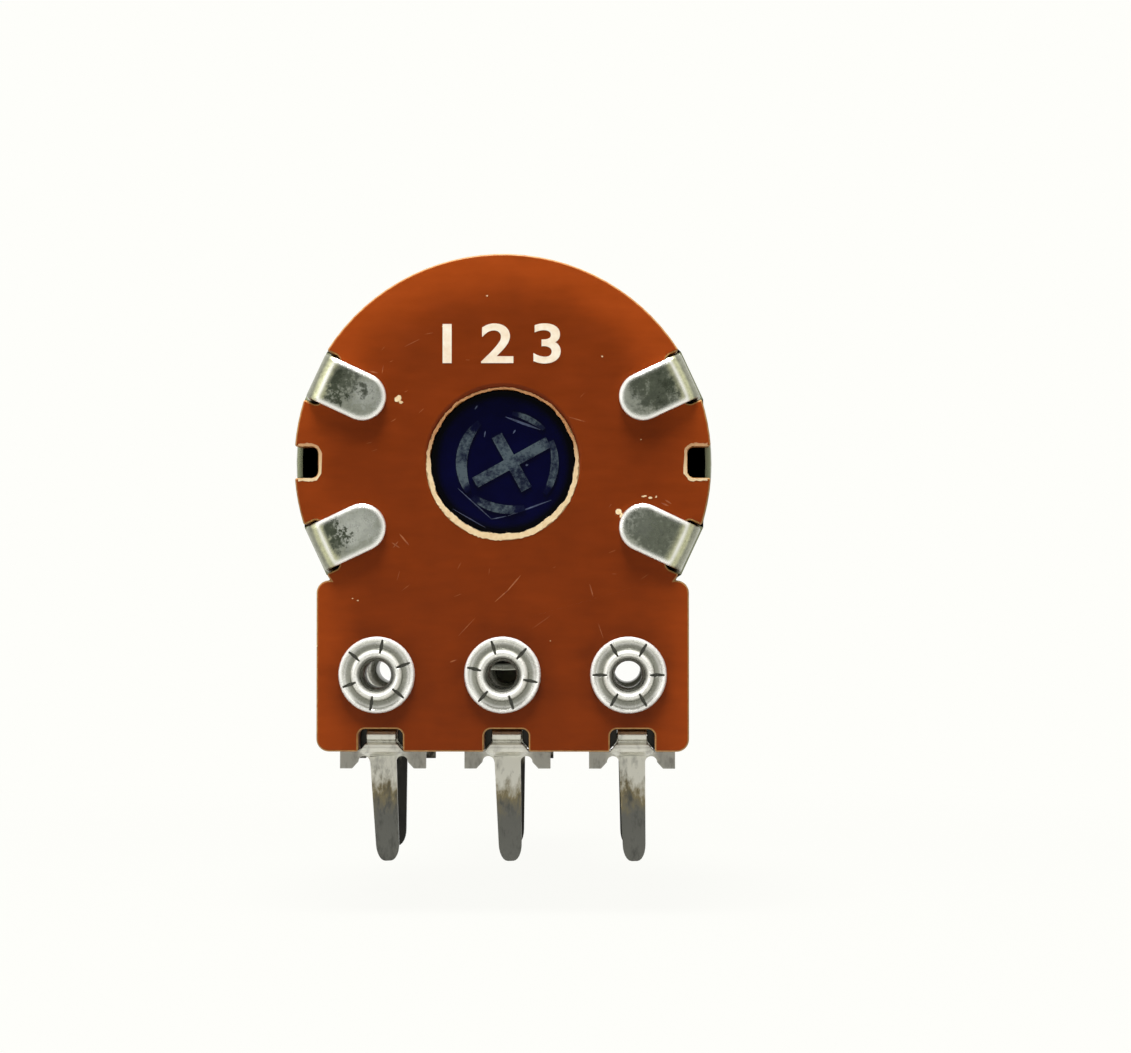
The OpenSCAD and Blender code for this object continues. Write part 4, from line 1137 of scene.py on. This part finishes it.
flux_finish = grained("dried_flux", ("#15150b", "#4c4d22"), {"Roughness": 0.35}, 0.5, 0.02)
front_eyelet_ends = [corner.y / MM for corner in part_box("front_eyelets")]
flux_outline = [(FLUX_REACH * math.cos(2 * math.pi * k / FLUX_CORNERS),
                 eyelet_z + FLUX_REACH * math.sin(2 * math.pi * k / FLUX_CORNERS))
                for k in range(FLUX_CORNERS)]
thin_piece("flux_film", [flux_outline], sum(front_eyelet_ends) / 2, 0.02, flux_finish,
           "housing")
print("flux film:", 2 * FLUX_REACH, "mm across")

# %% [markdown]
# ## Scratches on the board
# A scratch only whitens the resin, so it is hardly paler than the board. The ones that the eye
# finds are listed one by one.

# %% Scratches on the board
scratch_finish = grained("scratched_resin", ("#7e3615", "#a9622f"), {"Roughness": 0.7},
                         0.15, 0.01)
scratches = [
    scratch((0.72, -4.5), (0.12, -5.2), 0.05), scratch((0.2, -5.1), (-0.3, -5.55), 0.04),
    scratch((-4.1, -2.85), (-3.72, -3.3), 0.06), scratch((-4.4, -3.2), (-4.1, -3.4), 0.05),
    scratch((-4.35, -3.4), (-4.15, -3.15), 0.04), scratch((3.46, -4.85), (3.6, -5.35), 0.04),
    scratch((-5.3, 3.62), (-4.95, 3.55), 0.05), scratch((6.3, -1.62), (6.6, -1.75), 0.06),
    scratch((6.45, -1.5), (6.7, -1.66), 0.05), scratch((-2.1, -7.95), (-1.82, -7.85), 0.05),
    scratch((-1.75, -6.9), (-1.1, -6.2), 0.025), scratch((-6.6, 4.0), (-6.2, 3.9), 0.04),
    scratch((2.6, 1.8), (3.3, 1.6), 0.025), scratch((-3.9, 4.6), (-3.3, 4.9), 0.02),
    scratch((1.2, -6.6), (1.9, -6.1), 0.02), scratch((4.0, -7.0), (3.8, -6.4), 0.02)
]
print("scratches placed by hand:", len(scratches))

# %% [markdown]
# ## A haze of fine scratches
# Besides those, the boards rubbed against each other in their stack, which left a haze of very
# fine scratches, most of them running one way. Chance scatters them over the round head, and
# those that would fall on the rotor's hole or past the outline are left out.

# %% A haze of fine scratches
HAZE_TRIES = 34
HAZE_SIDE = 6.6
HAZE_TOP = 5.2
HAZE_LEAN = 35
HAZE_SPREAD = 28
HAZE_LENGTH = (0.12, 0.42)
HAZE_WIDTH = 0.018
HAZE_RING = (3.4, 7.2)

for k in range(HAZE_TRIES):
    x = chance.uniform(-HAZE_SIDE, HAZE_SIDE)
    z = chance.uniform(-HAZE_SIDE, HAZE_TOP)
    lean = math.radians(chance.gauss(HAZE_LEAN, HAZE_SPREAD))
    length = chance.uniform(*HAZE_LENGTH)
    if HAZE_RING[0] < math.hypot(x, z) < HAZE_RING[1]:
        end = (x + length * math.cos(lean), z + length * math.sin(lean))
        scratches.append(scratch((x, z), end, HAZE_WIDTH, steps=3))
thin_piece("board_scratches", scratches, rear_face_y, 0.004, scratch_finish, "housing")
print("scratches with the haze:", len(scratches))

# %% [markdown]
# ## Scuffs on the rotor
# Fine pale lines cross the rotor's glossy face beside the moulded marks. They turn with the
# rotor, so they ride on its body and not on the board.

# %% Scuffs on the rotor
plain_face_y = marks_y + 2 * MARK_STEP
scuff_finish = grained("scuffed_gloss_plastic", ("#1b2340", "#4a5674"), {"Roughness": 0.5},
                       0.2, 0.005)
scuffs = [
    scratch((-1.8, -1.03), (-0.45, -2.26), 0.05), scratch((-0.45, -2.26), (0.14, -2.14), 0.04),
    scratch((0.2, -2.13), (1.93, -1.5), 0.06), scratch((-2.0, -1.85), (-0.7, -2.6), 0.035),
    scratch((-1.12, 2.12), (-1.02, 2.27), 0.06), scratch((0.1, 1.82), (1.5, 1.3), 0.09),
    scratch((-0.75, 1.0), (-0.7, 1.25), 0.05), scratch((0.4, 1.15), (0.5, 1.3), 0.05),
    chip(0.95, -0.1, 0.12), chip(0.25, -0.3, 0.08)
]
thin_piece("rotor_scuffs", scuffs, plain_face_y, 0.004, scuff_finish, "rotor")
print("scuffs:", len(scuffs))

# %% [markdown]
# ## Printed digits
# A board like this carries a short value in white ink. Here it is plain digits, which number the
# three terminals. Ink is screen printed, so it is matt, a little uneven and has soft corners. The
# digits are made from a text curve, which is thickened, turned into a mesh and scaled to the
# print's real height.

# %% Printed digits
PRINT_TEXT = "1 2 3"
PRINT_HEIGHT = 1.6
PRINT_WIDTH = 4.7
PRINT_BASE = 3.92
PRINT_MIDDLE = -0.04
# How far the ink has run past its stencil, and how wide a space is, both in the text's own units
INK_SPREAD = 0.016
WORD_SPACE = 0.8
INK = 0.012

ink_finish = grained("white_screen_ink", ("#eed9bb", "#fbf0dc"), {"Roughness": 0.6}, 0.3, 0.006)


def text_mesh():
    """The digits as a mesh with some depth, lying in x and y; its size is set afterwards."""
    curve = bpy.data.curves.new("printed_digits", "FONT")
    curve.body = PRINT_TEXT
    curve.offset = INK_SPREAD
    curve.space_word = WORD_SPACE
    curve.extrude = 0.01
    source = bpy.data.objects.new("digits_source", curve)
    bpy.context.scene.collection.objects.link(source)
    bpy.context.view_layer.update()
    drawn = source.evaluated_get(bpy.context.evaluated_depsgraph_get())
    data = bpy.data.meshes.new_from_object(drawn)
    bpy.data.objects.remove(source)
    bpy.data.curves.remove(curve)
    return data


def printed_digits():
    data = text_mesh()
    low = Vector([min(v.co[i] for v in data.vertices) for i in range(3)])
    high = Vector([max(v.co[i] for v in data.vertices) for i in range(3)])
    size = high - low
    for v in data.vertices:
        along = (v.co.x - low.x) / size.x - 0.5
        up = (v.co.y - low.y) / size.y
        depth = (v.co.z - low.z) / size.z - 0.5
        v.co = metres(PRINT_MIDDLE + along * PRINT_WIDTH, rear_face_y - depth * 2 * INK,
                      PRINT_BASE + up * PRINT_HEIGHT)
    return new_piece("printed_digits", data, ink_finish)


digits = printed_digits()
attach(digits, "housing")
print("digit faces:", len(digits.data.polygons))

# %% [markdown]
# ## Camera
# The object is small, so the camera stands close, about 11 cm behind the board, a little to the
# right of the shaft and below it. A long lens keeps the board's proportions. The camera looks at
# the middle of the picture, which lies right of the part and a little below the shaft.

# %% Camera
CAMERA_BACK = 112.0
CAMERA_SIDE = 4.1
CAMERA_HEIGHT = -4.6
LOOK_SIDE = 2.5
LOOK_HEIGHT = -2.56
LENS = 89.8

camera_data = bpy.data.cameras.new("camera")
camera_data.lens = LENS
camera_data.sensor_width = 36.0
camera_data.clip_start = 2 * MM
camera_data.clip_end = 10.0
camera = bpy.data.objects.new("camera", camera_data)
camera.location = metres(CAMERA_SIDE, rear_face_y - CAMERA_BACK, CAMERA_HEIGHT)
look = metres(LOOK_SIDE, rear_face_y, LOOK_HEIGHT) - camera.location
camera.rotation_euler = look.to_track_quat("-Z", "Y").to_euler()
bpy.context.scene.collection.objects.link(camera)
bpy.context.scene.camera = camera
print("camera at", [round(c / MM, 1) for c in camera.location], "mm")

# %% [markdown]
# ## Studio
# The part stands in a white tent: soft light from all sides, one broad lamp above for gentle
# shadows under the tabs and eyelets, and a weak one from the left. Metal mirrors the tent. Behind
# the camera hangs a grey card, so that flat metal turned to it goes grey while every rounded edge
# stays white, which is what makes the metal read as metal.

# %% Studio
TENT_LIGHT = 0.23
CARD_SHADE = 0.32
CARD_EDGE = -0.95
TENT_EDGE = -0.8
BACKDROP = "#fefefa"
PART_MIDDLE = metres(0, rear_face_y / 2, -4)


def tent():
    world = bpy.data.worlds.new("tent")
    world.use_nodes = True
    bpy.context.scene.world = world
    tree = world.node_tree
    tree.nodes.clear()
    rays = add(tree, "ShaderNodeLightPath")
    direction = add(tree, "ShaderNodeTexCoord")
    y = add(tree, "ShaderNodeSeparateXYZ", {}, {0: direction.outputs["Generated"]}).outputs["Y"]
    card = add(tree, "ShaderNodeMapRange",
               {"interpolation_type": "SMOOTHSTEP", "From Min": CARD_EDGE,
                "From Max": TENT_EDGE, "To Min": CARD_SHADE, "To Max": 1.0}, {"Value": y})
    soft = add(tree, "ShaderNodeBackground",
               {"Color": linear("#ffffff"), "Strength": TENT_LIGHT})
    mirrored = add(tree, "ShaderNodeBackground", {"Color": linear(BACKDROP)}, {"Strength": card})
    seen = add(tree, "ShaderNodeBackground", {"Color": linear(BACKDROP), "Strength": 1.0})
    clear = add(tree, "ShaderNodeMath", {"operation": "MAXIMUM"},
                {0: rays.outputs["Is Camera Ray"], 1: rays.outputs["Is Transmission Ray"]})
    glossy = add(tree, "ShaderNodeMixShader", {},
                 {0: rays.outputs["Is Glossy Ray"], 1: soft, 2: mirrored})
    mixed = add(tree, "ShaderNodeMixShader", {}, {0: clear, 1: glossy, 2: seen})
    add(tree, "ShaderNodeOutputWorld", {}, {0: mixed})


def lamp(name, place, size, watts):
    """A round lamp turned to the part; place and size in mm."""
    data = bpy.data.lights.new(name, "AREA")
    data.shape = "DISK"
    data.size = size * MM
    data.energy = watts
    light = bpy.data.objects.new(name, data)
    light.location = metres(*place)
    light.rotation_euler = (PART_MIDDLE - light.location).to_track_quat("-Z", "Y").to_euler()
    bpy.context.scene.collection.objects.link(light)


tent()
lamp("lamp_above", (-8, -38, 128), 64, 0.42)
lamp("lamp_left", (-120, -90, 20), 90, 0.025)
bpy.context.scene.view_settings.view_transform = "Standard"
print("studio lit")

# %% [markdown]
# ## Floor
# The floor is plain and pale, just under the pins. To the camera it gives off the same white as
# the tent, so no line shows where it ends. Round the part a small share of it stays ordinary
# paint, which keeps the part's soft shadow, and that share fades out with the distance. The paint
# is grey, so that it throws little light back up into the shadows.

# %% Floor
FLOOR_DROP = 2.0
FLOOR_SIZE = 3000.0
PAINT_SHARE = 0.045
PAINT_NEAR = 10.0
PAINT_FAR = 60.0
PAINT_CLOUD = 50.0


def distance_on_floor(tree, place):
    """Distance along the floor from the point under the shaft."""
    flat = add(tree, "ShaderNodeVectorMath", {"operation": "MULTIPLY", 1: (1, 1, 0)}, {0: place})
    return add(tree, "ShaderNodeVectorMath", {"operation": "LENGTH"},
               {0: flat}).outputs["Value"]


def pale_floor():
    material, tree, shader, place = new_material("pale_painted_floor", {"Roughness": 0.8})
    cloud = add(tree, "ShaderNodeTexNoise", {"Scale": 1 / PAINT_CLOUD, "Detail": 2.0},
                {"Vector": place})
    paint = add(tree, "ShaderNodeMix",
                {"data_type": "RGBA", 6: linear("#acaca7"), 7: linear("#b4b4af")}, {0: cloud})
    join(tree, shader, {"Base Color": paint.outputs[2]})
    rays = add(tree, "ShaderNodeLightPath")
    seen = add(tree, "ShaderNodeMath", {"operation": "MAXIMUM"},
               {0: rays.outputs["Is Camera Ray"], 1: rays.outputs["Is Glossy Ray"]})
    clear = add(tree, "ShaderNodeMath", {"operation": "MAXIMUM"},
                {0: seen, 1: rays.outputs["Is Transmission Ray"]})
    glow = add(tree, "ShaderNodeMapRange",
               {"interpolation_type": "SMOOTHSTEP", "From Min": PAINT_NEAR,
                "From Max": PAINT_FAR, "To Min": 1 - PAINT_SHARE, "To Max": 1.0},
               {"Value": distance_on_floor(tree, place)})
    share = add(tree, "ShaderNodeMath", {"operation": "MULTIPLY"}, {0: clear, 1: glow})
    white = add(tree, "ShaderNodeEmission", {"Color": linear(BACKDROP), "Strength": 1.0})
    mixed = add(tree, "ShaderNodeMixShader", {}, {0: share, 1: shader, 2: white})
    join(tree, tree.nodes["Material Output"], {0: mixed})
    return material


floor_z = pin_low - FLOOR_DROP
half = FLOOR_SIZE / 2
corners = [metres(x * half, y * half, floor_z) for x, y in ((-1, -1), (1, -1), (1, 1), (-1, 1))]
floor_data = bpy.data.meshes.new("floor")
floor_data.from_pydata(corners, [], [(0, 1, 2, 3)])
floor = new_piece("floor", floor_data, pale_floor())
print("floor at", round(floor_z, 2), "mm")
